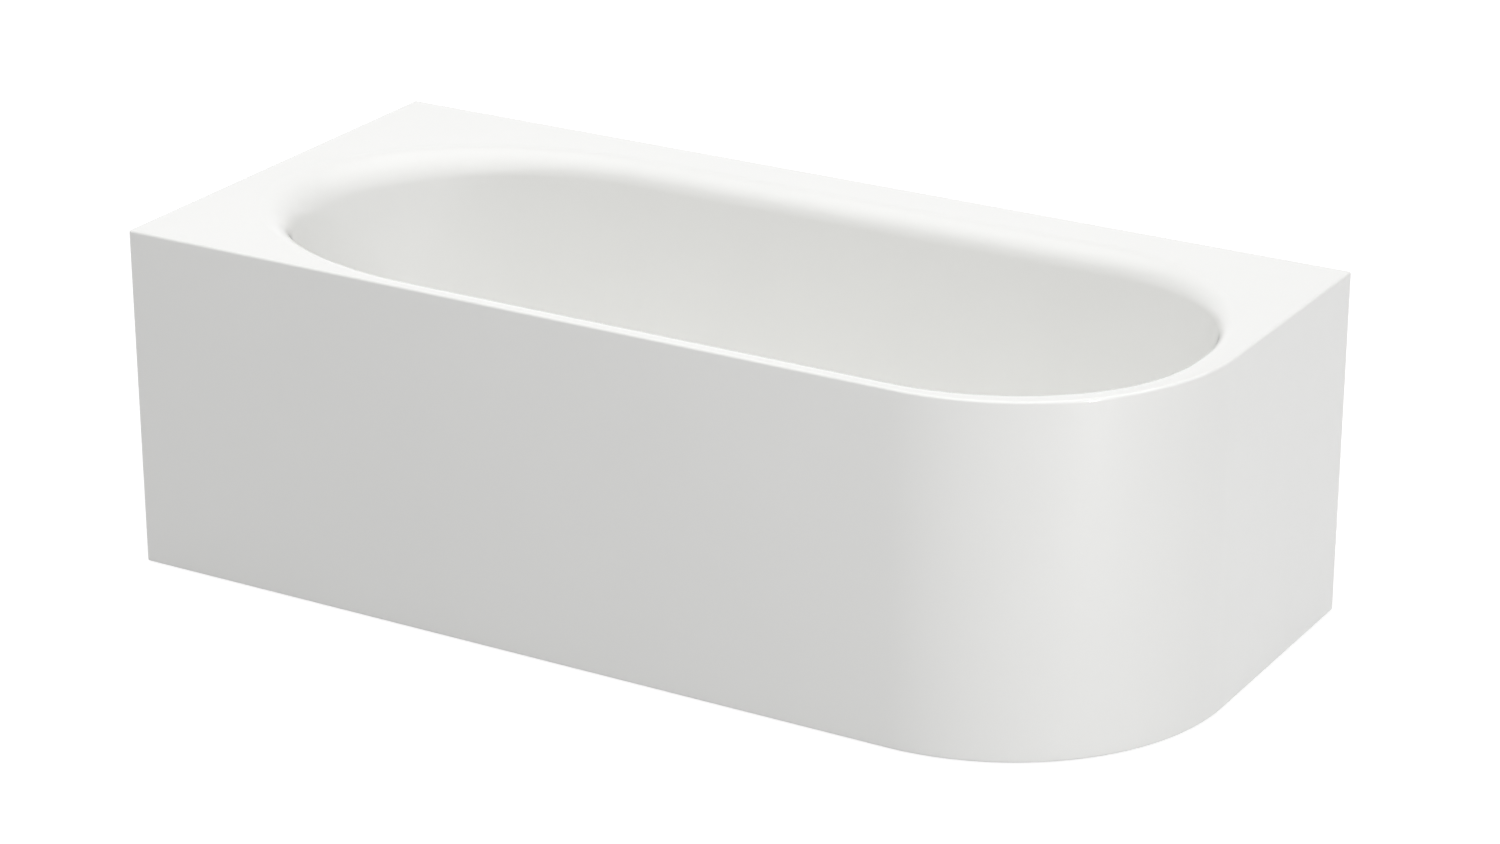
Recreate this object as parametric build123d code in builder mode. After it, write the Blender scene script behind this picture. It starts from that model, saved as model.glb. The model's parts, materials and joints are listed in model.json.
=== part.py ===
from build123d import *
from math import cos, radians, sin, tan
import os

# Panelled corner bath in millimetres.
# The origin is on the floor under the middle of the bath, +Z is up, the panelled long side faces -Y
# and the free rounded corner is at +X and -Y. The back (+Y) and the head end (-X) stand against walls.

os.makedirs("parts", exist_ok=True)

# Overall size
BATH_LENGTH = 1750.0
BATH_WIDTH = 800.0
BATH_HEIGHT = 573.0
CORNER_R = 374.0
EDGE_R = 4.0
EDGE_SLACK = 0.01

# Enamelled shell
SHELL_T = 2.5
LIP_R = 26.0
FLOOR_HEIGHT = 153.0
FLOOR_R = 110.0
RIM_FRONT = 37.5
RIM_BACK = 115.5
RIM_HEAD = 102.0
RIM_FOOT = 51.5
HEAD_CURVE_LENGTH = 420.0
FOOT_FRONT_SHARE = 0.5487
FOOT_END_SHARE = 0.4328
FOOT_BACK_SHARE = 0.49
FOOT_SPLIT_ANGLE = 45.0
SIDE_SLOPE = 6.0
HEAD_SLOPE = 18.0
FOOT_SLOPE = 14.0
SKIRT_DEPTH = 6.0
WALL_FLANGE_DEPTH = 30.0

# Panel
PANEL_T = 2.5
PANEL_FLOOR_GAP = 2.0
PANEL_RETURN = 25.0
PANEL_FOOT_FLANGE = 20.0
FLANGE_END_GAP = 2.0
ANGLE_T = 2.0
ANGLE_LEG = 24.0
ANGLE_SHELF = 8.0

# Wall brackets
BRACKET_T = 3.0
BRACKET_WIDTH = 60.0
BRACKET_DROP = 62.0
BRACKET_HOOK = 14.0
BRACKET_FIT = 0.3
BRACKET_HOLE_R = 3.2
BRACKET_HOLE_SPACING = 30.0
BRACKET_HOLE_DROP = 40.0
BACK_BRACKET_INSET = 275.0
HEAD_BRACKET_INSET = 320.0

# Cross rails and feet
HEAD_RAIL_INSET = 515.0
FOOT_RAIL_INSET = 545.0
RAIL_LENGTH = 580.0
RAIL_WIDTH = 40.0
RAIL_HEIGHT = 25.0
CHANNEL_T = 2.5
RAIL_PAD_T = 4.0
RAIL_PAD_LENGTH = 330.0
FOOT_INSET = 20.0
SPINDLE_R = 5.0
SPINDLE_TOP_ABOVE_RAIL = 25.0
SPINDLE_SOCKET_DEPTH = 9.0
SPINDLE_HOLE_CLEARANCE = 0.4
SPINDLE_CHAMFER = 1.5
SOCKET_CLEARANCE = 0.1
NUT_WIDTH = 17.0
NUT_HEIGHT = 6.0
NUT_BORE_CLEARANCE = 0.3
FOOT_PAD_R = 30.0
FOOT_PAD_HEIGHT = 14.0
FOOT_PAD_RIM = 5.0
FOOT_HUB_R = 11.0
SOLE_T = 3.0
SOLE_INSET = 2.0

# Ties between the rails and the panel
TIE_HEIGHT = 18.0
TIE_T = 3.0
TIE_TAB = 34.0
TIE_BEND_R = 5.0
STAY_Y = 180.0
TIE_DROP = 12.5
TIE_BOLT_R = 3.0
TIE_BOLT_CLEARANCE = 0.2
TIE_BOLT_LENGTH = 10.0
TIE_BOLT_HEAD_R = 5.5
TIE_BOLT_HEAD_H = 4.0
TIE_OVERLAP = 22.0

# Deadening mats
MAT_T = 3.0
MAT_MARGIN = 12.0
MAT_CORNER_R = 20.0
WALL_MAT_LENGTH = 560.0
WALL_MAT_TOP_DROP = 110.0
WALL_MAT_HEIGHT = 150.0
WALL_MAT_X = 60.0

# Earthing tab
LUG_END_INSET = 235.0
LUG_BACK_INSET = 55.0
LUG_WIDTH = 25.0
LUG_LENGTH = 30.0
LUG_T = 3.0
LUG_CORNER_R = 6.0
LUG_HOLE_R = 3.2
LUG_HOLE_DROP = 19.0
LUG_SCREW_R = 3.0
LUG_SCREW_LENGTH = 16.0
LUG_HEAD_R = 5.5
LUG_HEAD_H = 4.0
LUG_NUT_H = 5.0

# Waste in the floor
WASTE_INSET = 335.0
WASTE_HOLE_R = 26.0
RECESS_R = 46.0
RECESS_DEPTH = 4.0
FLANGE_R = 40.0
FLANGE_T = 2.5
FLANGE_SEAL_T = 1.5
FLANGE_BEVEL = 1.2
FLANGE_DISH = 5.0
SEAL_INSET = 2.0
THROAT_R = 25.0
THROAT_WALL = 3.0
THROAT_LENGTH = 28.0
GUIDE_R = 7.0
GUIDE_HEIGHT = 10.0
GUIDE_SPOKE = 3.0
SPOKE_COUNT = 3
BODY_SEAL_T = 3.0
BODY_RIM_R = 39.0
BODY_RIM_T = 4.0
BODY_R = 31.0
BODY_WALL = 3.0
BODY_HEIGHT = 37.0
BODY_NECK_HEIGHT = 12.0
THREAD_CLEARANCE = 0.3
BRANCH_R = 16.0
BRANCH_WALL = 3.0
BRANCH_REACH = 66.0
BRANCH_DROP = 20.5
DIP_R = 20.0
DIP_WALL = 2.5
DIP_END_Z = 12.0
PORT_R = 6.0
PORT_ANGLE = -35.0
PORT_REACH = 56.0

# Plug
PLUG_R = 33.0
PLUG_EDGE_T = 2.0
PLUG_CROWN = 5.0
PLUG_SEAT_GAP = 0.3
PLUG_SEAL_T = 2.0
PLUG_SEAL_WIDTH = 7.0
PLUG_SEAL_INSET = 4.0
PLUG_STEM_R = 4.0
PLUG_STEM_LENGTH = 42.0
STEM_CLEARANCE = 0.3

# Trap
TRAP_R = 48.0
TRAP_WALL = 3.0
TRAP_FLOOR_GAP = 4.0
TRAP_TOP_Z = 86.0
TRAP_EDGE_R = 8.0
TRAP_NECK_WALL = 3.5
TRAP_NECK_HEIGHT = 13.0
DIP_CLEARANCE = 0.5
TRAP_SEAL_T = 2.5
NUT_WALL = 5.0
NUT_FACE = 3.0
NUT_SIDES = 12
TRAP_NUT_GAP = 1.0
OUTLET_Z = 61.0
OUTLET_R = 24.0
OUTLET_WALL = 3.5
OUTLET_REACH = 92.0
OUTLET_START = 38.0
PIPE_R = 20.0
PIPE_WALL = 2.0
PIPE_INSERT = 14.0
PIPE_CLEARANCE = 0.3
PIPE_BEND = 45.0
PIPE_BEND_R = 45.0
PIPE_RUN = 10.0
PIPE_TAIL = 48.0
OUTLET_NUT_LENGTH = 17.0

# Overflow in the foot end
OVERFLOW_DROP = 95.0
OVERFLOW_HOLE_R = 26.0
OVERFLOW_RECESS_R = 39.0
OVERFLOW_RECESS_DEPTH = 2.5
OVERFLOW_FLANGE_R = 36.0
OVERFLOW_FLANGE_T = 4.0
OVERFLOW_THROAT_R = 25.0
OVERFLOW_THROAT_WALL = 2.5
OVERFLOW_THROAT_LENGTH = 15.0
OVERFLOW_SEAL_T = 3.0
OVERFLOW_BODY_RIM_R = 37.0
OVERFLOW_BODY_RIM_T = 4.0
OVERFLOW_BODY_R = 30.0
OVERFLOW_BODY_WALL = 3.0
OVERFLOW_BODY_LENGTH = 30.0
OVERFLOW_HUB_R = 8.5
OVERFLOW_HUB_LENGTH = 11.5
OVERFLOW_SPOKE = 3.5
KNOB_R = 31.0
KNOB_T = 12.0
KNOB_GAP = 5.0
KNOB_EDGE = 1.5
KNOB_GRIP_INSET = 4.0
KNOB_GRIP_WIDTH = 10.0
KNOB_GRIP_HEIGHT = 7.0
KNOB_SHAFT_R = 5.0
KNOB_SHAFT_LENGTH = 24.0
KNOB_RUNNING_GAP = 0.05
OUTLET_TUBE_TOP_DROP = 16.0
NIPPLE_R = 4.5
NIPPLE_SIDE = 27.0
NIPPLE_END_DROP = 136.0
NIPPLE_TOP_DROP = 16.0
OVERFLOW_PIPE_R = 16.0
OVERFLOW_PIPE_WALL = 3.0
OVERFLOW_PIPE_TOP_DROP = 173.0
OVERFLOW_PIPE_BEND_R = 60.0
PIPE_NUT_LENGTH = 26.0

# Places worked out from the sizes above
LEFT = -BATH_LENGTH / 2
RIGHT = BATH_LENGTH / 2
FRONT = -BATH_WIDTH / 2
BACK = BATH_WIDTH / 2
TOP = BATH_HEIGHT
BOWL_CENTRE_Y = (FRONT + RIM_FRONT + BACK - RIM_BACK) / 2
BOWL_WIDTH = BATH_WIDTH - RIM_FRONT - RIM_BACK
HEAD_CENTRE_X = LEFT + RIM_HEAD + HEAD_CURVE_LENGTH
BOWL_DEPTH = BATH_HEIGHT - FLOOR_HEIGHT
FLOOR_TOP = FLOOR_HEIGHT
FLOOR_UNDER = FLOOR_TOP - SHELL_T
JOINT_Z = TOP - SKIRT_DEPTH
WASTE_X = RIGHT - WASTE_INSET
OVERFLOW_PIPE_TOP_Z = TOP - OVERFLOW_PIPE_TOP_DROP
NIPPLE_END_Z = TOP - NIPPLE_END_DROP
HEAD_RAIL_X = LEFT + HEAD_RAIL_INSET
FOOT_RAIL_X = RIGHT - FOOT_RAIL_INSET
RAIL_TOP = FLOOR_UNDER - RAIL_PAD_T
TIE_Z = RAIL_TOP - TIE_DROP
TIE_Y = BOWL_CENTRE_Y - RAIL_LENGTH / 2 + TIE_OVERLAP / 2
FOOT_REACH = RAIL_LENGTH / 2 - FOOT_INSET
PAD_TOP = SOLE_T + FOOT_PAD_HEIGHT
RECESS_TOP = FLOOR_TOP - RECESS_DEPTH
RECESS_UNDER = RECESS_TOP - SHELL_T
FLANGE_TOP = RECESS_TOP + FLANGE_SEAL_T + FLANGE_T
BODY_TOP = RECESS_UNDER - BODY_SEAL_T
BODY_BOTTOM = BODY_TOP - BODY_HEIGHT
BRANCH_Z = BODY_TOP - BRANCH_DROP
NECK_R = DIP_R + DIP_CLEARANCE + TRAP_NECK_WALL
NECK_TOP = TRAP_TOP_Z + TRAP_NECK_HEIGHT
OUTLET_END = BOWL_CENTRE_Y + OUTLET_REACH


def plan_outline(inset):
    """Outer plan of the bath: two square walls, two free sides and one rounded corner."""
    arc_x = RIGHT - CORNER_R
    arc_y = FRONT + CORNER_R
    with BuildSketch() as outline:
        with BuildLine():
            Line((LEFT + inset, FRONT + inset), (arc_x, FRONT + inset))
            CenterArc((arc_x, arc_y), CORNER_R - inset, -90, 90)
            Line((RIGHT - inset, arc_y), (RIGHT - inset, BACK - inset))
            Line((RIGHT - inset, BACK - inset), (LEFT + inset, BACK - inset))
            Line((LEFT + inset, BACK - inset), (LEFT + inset, FRONT + inset))
        make_face()
        if inset < EDGE_R:
            square = outline.vertices().filter_by(lambda v: v.X < arc_x - EDGE_R or v.Y > arc_y + EDGE_R)
            fillet(square, EDGE_R - inset)
    return outline.sketch


def free_sides(inset, width):
    """Strip of the outer plan along the two free sides, with a short return at each wall."""
    with BuildSketch() as strip:
        add(plan_outline(inset))
        add(plan_outline(inset + width), mode=Mode.SUBTRACT)
        with Locations((LEFT, FRONT + PANEL_RETURN)):
            Rectangle(BATH_LENGTH / 2, BATH_WIDTH, align=(Align.MIN, Align.MIN), mode=Mode.SUBTRACT)
        with Locations((RIGHT - PANEL_RETURN, BACK)):
            Rectangle(BATH_LENGTH, BATH_WIDTH / 2, align=(Align.MAX, Align.MAX), mode=Mode.SUBTRACT)
    return strip.sketch


def bowl_places(drop, skin):
    """Sides, corner radii and arc ends of the bowl's plan at one depth."""
    side = drop * tan(radians(SIDE_SLOPE)) - skin / cos(radians(SIDE_SLOPE))
    head = drop * tan(radians(HEAD_SLOPE)) - skin / cos(radians(HEAD_SLOPE))
    foot = drop * tan(radians(FOOT_SLOPE)) - skin / cos(radians(FOOT_SLOPE))
    front_y = FRONT + RIM_FRONT + side
    back_y = BACK - RIM_BACK - side
    head_x = LEFT + RIM_HEAD + head
    foot_x = RIGHT - RIM_FOOT - foot
    front_r = FOOT_FRONT_SHARE * BOWL_WIDTH - side
    end_r = FOOT_END_SHARE * BOWL_WIDTH - side
    back_r = FOOT_BACK_SHARE * BOWL_WIDTH - side
    split = radians(FOOT_SPLIT_ANGLE)
    front_x = foot_x - end_r * (1 - sin(split)) - front_r * sin(split)
    end_y = front_y + front_r * (1 - cos(split)) + end_r * cos(split)
    return front_y, back_y, head_x, foot_x, front_r, end_r, back_r, front_x, end_y


def bowl_outline(drop, skin):
    """Plan of the bowl at one depth, for its inside (skin 0) or its hidden side (skin SHELL_T)."""
    front_y, back_y, head_x, foot_x, front_r, end_r, back_r, front_x, end_y = bowl_places(drop, skin)
    half_width = (back_y - front_y) / 2
    head_length = HEAD_CENTRE_X - head_x
    with BuildSketch(Plane.XY.offset(TOP - drop)) as outline:
        with BuildLine():
            Line((HEAD_CENTRE_X, front_y), (front_x, front_y))
            CenterArc((front_x, front_y + front_r), front_r, -90, FOOT_SPLIT_ANGLE)
            CenterArc((foot_x - end_r, end_y), end_r, FOOT_SPLIT_ANGLE - 90, 90 - FOOT_SPLIT_ANGLE)
            Line((foot_x, end_y), (foot_x, back_y - back_r))
            CenterArc((foot_x - back_r, back_y - back_r), back_r, 0, 90)
            Line((foot_x - back_r, back_y), (HEAD_CENTRE_X, back_y))
            EllipticalCenterArc((HEAD_CENTRE_X, BOWL_CENTRE_Y), head_length, half_width, 90, arc_size=90)
            EllipticalCenterArc((HEAD_CENTRE_X, BOWL_CENTRE_Y), head_length, half_width, 180, arc_size=90)
        make_face()
    return outline.sketch


def bowl(top_drop, skin):
    """The bowl as a solid block, from a depth below the deck to its floor, with a rounded floor edge."""
    with BuildPart() as block:
        top = bowl_outline(top_drop, skin).face()
        bottom = bowl_outline(BOWL_DEPTH + skin, skin).face()
        loft([top, bottom], ruled=True)
        fillet(block.faces().sort_by(Axis.Z)[0].edges(), FLOOR_R + skin)
    return block.part


def overflow_plane():
    """Plane on the foot end's visible face at the overflow, with its Z axis out of the bath."""
    foot_x = bowl_places(OVERFLOW_DROP, 0)[3]
    slope = radians(FOOT_SLOPE)
    return Plane(
        origin=(foot_x, BOWL_CENTRE_Y, TOP - OVERFLOW_DROP),
        x_dir=(0, 1, 0),
        z_dir=(cos(slope), 0, -sin(slope)),
    )


def turned(plane, points):
    """Piece turned about a plane's Y axis, from half its section as (radius, height) points."""
    with BuildPart() as piece:
        with BuildSketch(plane):
            with BuildLine():
                Polyline(*points, close=True)
            make_face()
        revolve(axis=Axis(plane.origin, plane.y_dir))
    return piece.part


def ring(plane, inner, outer, low, high):
    """Plain ring about a plane's Y axis."""
    return turned(plane, [(inner, low), (outer, low), (outer, high), (inner, high)])


def union_nut(plane, thread_r, pipe_r, low, face):
    """Twelve-sided union nut: a skirt round the thread and a face that holds the pipe in."""
    with BuildPart() as nut:
        with BuildSketch(plane.offset(low)):
            RegularPolygon(thread_r + NUT_WALL, NUT_SIDES)
            Circle(pipe_r, mode=Mode.SUBTRACT)
        extrude(amount=face + NUT_FACE - low)
        if face > low:
            with BuildSketch(plane.offset(low)):
                Circle(thread_r)
            extrude(amount=face - low, mode=Mode.SUBTRACT)
    return nut.part


OVERFLOW = overflow_plane()
OVERFLOW_SECTION = Plane(
    origin=OVERFLOW.origin,
    x_dir=(0, 1, 0),
    z_dir=Vector(0, 1, 0).cross(OVERFLOW.z_dir),
)
WASTE_SECTION = Plane(origin=(WASTE_X, BOWL_CENTRE_Y, 0), x_dir=(1, 0, 0), z_dir=(0, -1, 0))
WASTE_PLAN = Plane(origin=(WASTE_X, BOWL_CENTRE_Y, 0))
inner_bowl = bowl(0, 0)

# Bath shell: flat deck, turned-down edges, bowl, and pressed seats for the waste and the overflow
with BuildPart() as bath_shell:
    with BuildSketch(Plane.XY.offset(JOINT_Z)):
        add(plan_outline(0))
    extrude(amount=SKIRT_DEPTH)
    with BuildSketch(Plane.XY.offset(JOINT_Z)):
        add(plan_outline(SHELL_T))
    extrude(amount=SKIRT_DEPTH - SHELL_T, mode=Mode.SUBTRACT)
    deck_edge = bath_shell.faces().sort_by(Axis.Z)[-1].outer_wire().edges()
    fillet(deck_edge, EDGE_R - EDGE_SLACK)
    with BuildSketch(Plane.XY.offset(JOINT_Z)):
        add(plan_outline(0))
        add(plan_outline(SHELL_T), mode=Mode.SUBTRACT)
        flange_length_y = BATH_WIDTH - PANEL_RETURN - FLANGE_END_GAP
        flange_length_x = BATH_LENGTH - PANEL_RETURN - FLANGE_END_GAP
        with BuildSketch(mode=Mode.INTERSECT):
            with Locations((LEFT, BACK)):
                Rectangle(2 * SHELL_T, flange_length_y, align=(Align.MIN, Align.MAX))
                Rectangle(flange_length_x, 2 * SHELL_T, align=(Align.MIN, Align.MAX))
    extrude(amount=SKIRT_DEPTH - WALL_FLANGE_DEPTH)
    add(bowl(SHELL_T, SHELL_T))
    deck_under = bath_shell.faces().filter_by(Plane.XY)
    deck_under = deck_under.filter_by(lambda f: abs(f.center().Z - TOP + SHELL_T) < 0.01)[0]
    fillet(deck_under.inner_wires()[0].edges(), LIP_R - SHELL_T)
    with Locations((WASTE_X, BOWL_CENTRE_Y, RECESS_UNDER)):
        Cylinder(RECESS_R + SHELL_T, RECESS_DEPTH + SHELL_T, align=(Align.CENTER, Align.CENTER, Align.MIN))
    with BuildSketch(OVERFLOW.offset(-SHELL_T)):
        Circle(OVERFLOW_RECESS_R + SHELL_T)
    extrude(amount=OVERFLOW_RECESS_DEPTH + 2 * SHELL_T)
    add(inner_bowl, mode=Mode.SUBTRACT)
    opening = bath_shell.faces().sort_by(Axis.Z)[-1].inner_wires()[0]
    fillet(opening.edges(), LIP_R)
    with Locations((WASTE_X, BOWL_CENTRE_Y, RECESS_TOP)):
        on_bottom = (Align.CENTER, Align.CENTER, Align.MIN)
        Cylinder(RECESS_R, 2 * RECESS_DEPTH, align=on_bottom, mode=Mode.SUBTRACT)
    with Locations((WASTE_X, BOWL_CENTRE_Y, FLOOR_UNDER)):
        Cylinder(WASTE_HOLE_R, 4 * RECESS_DEPTH, mode=Mode.SUBTRACT)
    with BuildSketch(OVERFLOW.offset(OVERFLOW_RECESS_DEPTH)):
        Circle(OVERFLOW_RECESS_R)
    extrude(amount=-4 * OVERFLOW_RECESS_DEPTH, mode=Mode.SUBTRACT)
    with BuildSketch(OVERFLOW):
        Circle(OVERFLOW_HOLE_R)
    extrude(amount=4 * OVERFLOW_RECESS_DEPTH, mode=Mode.SUBTRACT)
bath_shell.part.label = "bath_shell"
export_step(bath_shell.part, "parts/bath_shell.step")


# Apron panel: one sheet round the front, the rounded corner and the foot end, with returns at both walls
with BuildPart() as apron_panel:
    with BuildSketch(Plane.XY.offset(PANEL_FLOOR_GAP)):
        add(free_sides(0, PANEL_T))
    extrude(amount=JOINT_Z - PANEL_FLOOR_GAP)
    with BuildSketch(Plane.XY.offset(PANEL_FLOOR_GAP)):
        add(free_sides(0, PANEL_FOOT_FLANGE))
    extrude(amount=PANEL_T)
apron_panel.part.label = "apron_panel"
export_step(apron_panel.part, "parts/apron_panel.step")

# Angle behind the joint of the rim and the panel, glued to both
ANGLE_INSET = max(SHELL_T, PANEL_T)
with BuildPart() as apron_top_rail:
    for width, height in ((ANGLE_T, ANGLE_LEG), (ANGLE_SHELF, ANGLE_T)):
        with BuildSketch(Plane.XY.offset(TOP - SHELL_T)):
            add(free_sides(ANGLE_INSET, width))
        extrude(amount=-height)
apron_top_rail.part.label = "apron_top_rail"
export_step(apron_top_rail.part, "parts/apron_top_rail.step")

# Wall brackets: each hooks behind the turned-down wall flange, which rests on its shelf
FLANGE_BOTTOM = TOP - WALL_FLANGE_DEPTH
back_bracket_places = (LEFT + BACK_BRACKET_INSET, 0, RIGHT - BACK_BRACKET_INSET)
bracket_planes = []
for bracket_x in back_bracket_places:
    bracket_place = (bracket_x, BACK, FLANGE_BOTTOM)
    bracket_planes.append(Plane(origin=bracket_place, x_dir=(0, -1, 0), z_dir=(-1, 0, 0)))
head_bracket_place = (LEFT, BACK - HEAD_BRACKET_INSET, FLANGE_BOTTOM)
bracket_planes.append(Plane(origin=head_bracket_place, x_dir=(1, 0, 0), z_dir=(0, -1, 0)))
for number, plane in enumerate(bracket_planes, start=1):
    hook_in = SHELL_T + BRACKET_FIT
    hook_out = hook_in + BRACKET_T
    with BuildPart() as rim_bracket:
        with BuildSketch(plane):
            with BuildLine():
                Polyline(
                    (0, -BRACKET_DROP),
                    (0, -BRACKET_FIT),
                    (hook_in, -BRACKET_FIT),
                    (hook_in, BRACKET_HOOK),
                    (hook_out, BRACKET_HOOK),
                    (hook_out, -BRACKET_FIT - BRACKET_T),
                    (BRACKET_T, -BRACKET_FIT - BRACKET_T),
                    (BRACKET_T, -BRACKET_DROP),
                    close=True,
                )
            make_face()
        extrude(amount=BRACKET_WIDTH / 2, both=True)
        wall = Plane(origin=plane.origin, x_dir=plane.z_dir, z_dir=plane.x_dir)
        with BuildSketch(wall):
            with Locations((0, BRACKET_HOLE_DROP)):
                with GridLocations(BRACKET_HOLE_SPACING, 0, 2, 1):
                    Circle(BRACKET_HOLE_R)
        extrude(amount=BRACKET_T, mode=Mode.SUBTRACT)
    rim_bracket.part.label = f"rim_bracket_{number}"
    export_step(rim_bracket.part, f"parts/rim_bracket_{number}.step")

# Cross rails: channels open downwards, glued to the flat of the floor through pads
tie_bolt_places = ((HEAD_RAIL_X, TIE_Y), (FOOT_RAIL_X, TIE_Y), (FOOT_RAIL_X, STAY_Y - TIE_TAB / 2))
for end, rail_x in (("head", HEAD_RAIL_X), ("foot", FOOT_RAIL_X)):
    with BuildPart() as cross_rail:
        rail_origin = (rail_x, BOWL_CENTRE_Y, RAIL_TOP)
        with BuildSketch(Plane(origin=rail_origin, x_dir=(1, 0, 0), z_dir=(0, -1, 0))):
            Rectangle(RAIL_WIDTH, RAIL_HEIGHT, align=(Align.CENTER, Align.MAX))
            with Locations((0, -CHANNEL_T)):
                inside = RAIL_WIDTH - 2 * CHANNEL_T
                Rectangle(inside, RAIL_HEIGHT, align=(Align.CENTER, Align.MAX), mode=Mode.SUBTRACT)
        extrude(amount=RAIL_LENGTH / 2, both=True)
        with BuildSketch(Plane.XY.offset(RAIL_TOP)):
            with Locations((rail_x, BOWL_CENTRE_Y)):
                with GridLocations(0, 2 * FOOT_REACH, 1, 2):
                    Circle(SPINDLE_R + SPINDLE_HOLE_CLEARANCE)
        extrude(amount=-CHANNEL_T, mode=Mode.SUBTRACT)
        for bolt_rail_x, bolt_y in tie_bolt_places:
            if bolt_rail_x == rail_x:
                with BuildSketch(Plane(origin=(rail_x + RAIL_WIDTH / 2, bolt_y, TIE_Z), z_dir=(1, 0, 0))):
                    Circle(TIE_BOLT_R + TIE_BOLT_CLEARANCE)
                extrude(amount=-CHANNEL_T, mode=Mode.SUBTRACT)
    cross_rail.part.label = f"{end}_rail"
    export_step(cross_rail.part, f"parts/{end}_rail.step")

    with BuildPart() as rail_pad:
        with BuildSketch(Plane.XY.offset(RAIL_TOP)):
            with Locations((rail_x, BOWL_CENTRE_Y)):
                Rectangle(RAIL_WIDTH, RAIL_PAD_LENGTH)
        extrude(amount=RAIL_PAD_T)
    rail_pad.part.label = f"{end}_rail_pad"
    export_step(rail_pad.part, f"parts/{end}_rail_pad.step")

# Levelling feet: a spindle with a hexagon collar stands in a pad, and the pad on a rubber sole
foot_places = []
for rail_x in (HEAD_RAIL_X, FOOT_RAIL_X):
    for side in (-1, 1):
        foot_places.append((rail_x, BOWL_CENTRE_Y + side * FOOT_REACH))
for number, (foot_x, foot_y) in enumerate(foot_places, start=1):
    foot_section = Plane(origin=(foot_x, foot_y, 0), x_dir=(1, 0, 0), z_dir=(0, -1, 0))
    socket_z = PAD_TOP - SPINDLE_SOCKET_DEPTH
    spindle_top = RAIL_TOP + SPINDLE_TOP_ABOVE_RAIL
    with BuildPart() as spindle:
        spindle_outline = [
            (0, socket_z),
            (SPINDLE_R, socket_z),
            (SPINDLE_R, spindle_top - SPINDLE_CHAMFER),
            (SPINDLE_R - SPINDLE_CHAMFER, spindle_top),
            (0, spindle_top),
        ]
        add(turned(foot_section, spindle_outline))
        with BuildSketch(Plane(origin=(foot_x, foot_y, PAD_TOP))):
            RegularPolygon(NUT_WIDTH / 2, 6, major_radius=False)
        extrude(amount=NUT_HEIGHT)
    spindle.part.label = f"foot_{number}_spindle"
    export_step(spindle.part, f"parts/foot_{number}_spindle.step")

    with BuildPart() as foot_pad:
        pad_outline = [
            (0, SOLE_T),
            (FOOT_PAD_R, SOLE_T),
            (FOOT_PAD_R, SOLE_T + FOOT_PAD_RIM),
            (FOOT_HUB_R, PAD_TOP),
            (SPINDLE_R + SOCKET_CLEARANCE, PAD_TOP),
            (SPINDLE_R + SOCKET_CLEARANCE, socket_z),
            (0, socket_z),
        ]
        add(turned(foot_section, pad_outline))
    foot_pad.part.label = f"foot_{number}_pad"
    export_step(foot_pad.part, f"parts/foot_{number}_pad.step")

    with BuildPart() as foot_sole:
        with BuildSketch(Plane(origin=(foot_x, foot_y, 0))):
            Circle(FOOT_PAD_R - SOLE_INSET)
        extrude(amount=SOLE_T)
    foot_sole.part.label = f"foot_{number}_sole"
    export_step(foot_sole.part, f"parts/foot_{number}_sole.step")

# Nuts that clamp each spindle to its rail, above and below the web
with BuildPart() as rail_nuts:
    for nut_bottom in (RAIL_TOP, RAIL_TOP - CHANNEL_T - NUT_HEIGHT):
        with BuildSketch(Plane.XY.offset(nut_bottom)):
            with Locations(foot_places):
                RegularPolygon(NUT_WIDTH / 2, 6, major_radius=False)
                Circle(SPINDLE_R + NUT_BORE_CLEARANCE, mode=Mode.SUBTRACT)
        extrude(amount=NUT_HEIGHT)
rail_nuts.part.label = "rail_nuts"
export_step(rail_nuts.part, "parts/rail_nuts.step")

# Ties from the front ends of the rails to the long panel
for end, rail_x in (("head", HEAD_RAIL_X), ("foot", FOOT_RAIL_X)):
    tie_x = rail_x + RAIL_WIDTH / 2
    panel_y = FRONT + PANEL_T
    with BuildPart() as panel_tie:
        with BuildSketch(Plane.XY.offset(TIE_Z - TIE_HEIGHT / 2)):
            with BuildLine():
                FilletPolyline(
                    (tie_x + TIE_T / 2, TIE_Y + TIE_OVERLAP / 2),
                    (tie_x + TIE_T / 2, panel_y + TIE_T / 2),
                    (tie_x + TIE_TAB, panel_y + TIE_T / 2),
                    radius=TIE_BEND_R,
                )
            trace(line_width=TIE_T)
        extrude(amount=TIE_HEIGHT)
        with BuildSketch(Plane(origin=(tie_x, TIE_Y, TIE_Z), z_dir=(1, 0, 0))):
            Circle(TIE_BOLT_R + TIE_BOLT_CLEARANCE)
        extrude(amount=TIE_T, mode=Mode.SUBTRACT)
    panel_tie.part.label = f"panel_tie_{end}"
    export_step(panel_tie.part, f"parts/panel_tie_{end}.step")

# Stay from the foot rail to the panel at the foot end
with BuildPart() as end_stay:
    stay_x = FOOT_RAIL_X + RAIL_WIDTH / 2
    panel_x = RIGHT - PANEL_T
    with BuildSketch(Plane.XY.offset(TIE_Z - TIE_HEIGHT / 2)):
        with BuildLine():
            FilletPolyline(
                (stay_x + TIE_T / 2, STAY_Y - TIE_TAB),
                (stay_x + TIE_T / 2, STAY_Y),
                (panel_x - TIE_T / 2, STAY_Y),
                (panel_x - TIE_T / 2, STAY_Y - TIE_TAB),
                radius=TIE_BEND_R,
            )
        trace(line_width=TIE_T)
    extrude(amount=TIE_HEIGHT)
    with BuildSketch(Plane(origin=(stay_x, STAY_Y - TIE_TAB / 2, TIE_Z), z_dir=(1, 0, 0))):
        Circle(TIE_BOLT_R + TIE_BOLT_CLEARANCE)
    extrude(amount=TIE_T, mode=Mode.SUBTRACT)
end_stay.part.label = "end_stay"
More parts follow.
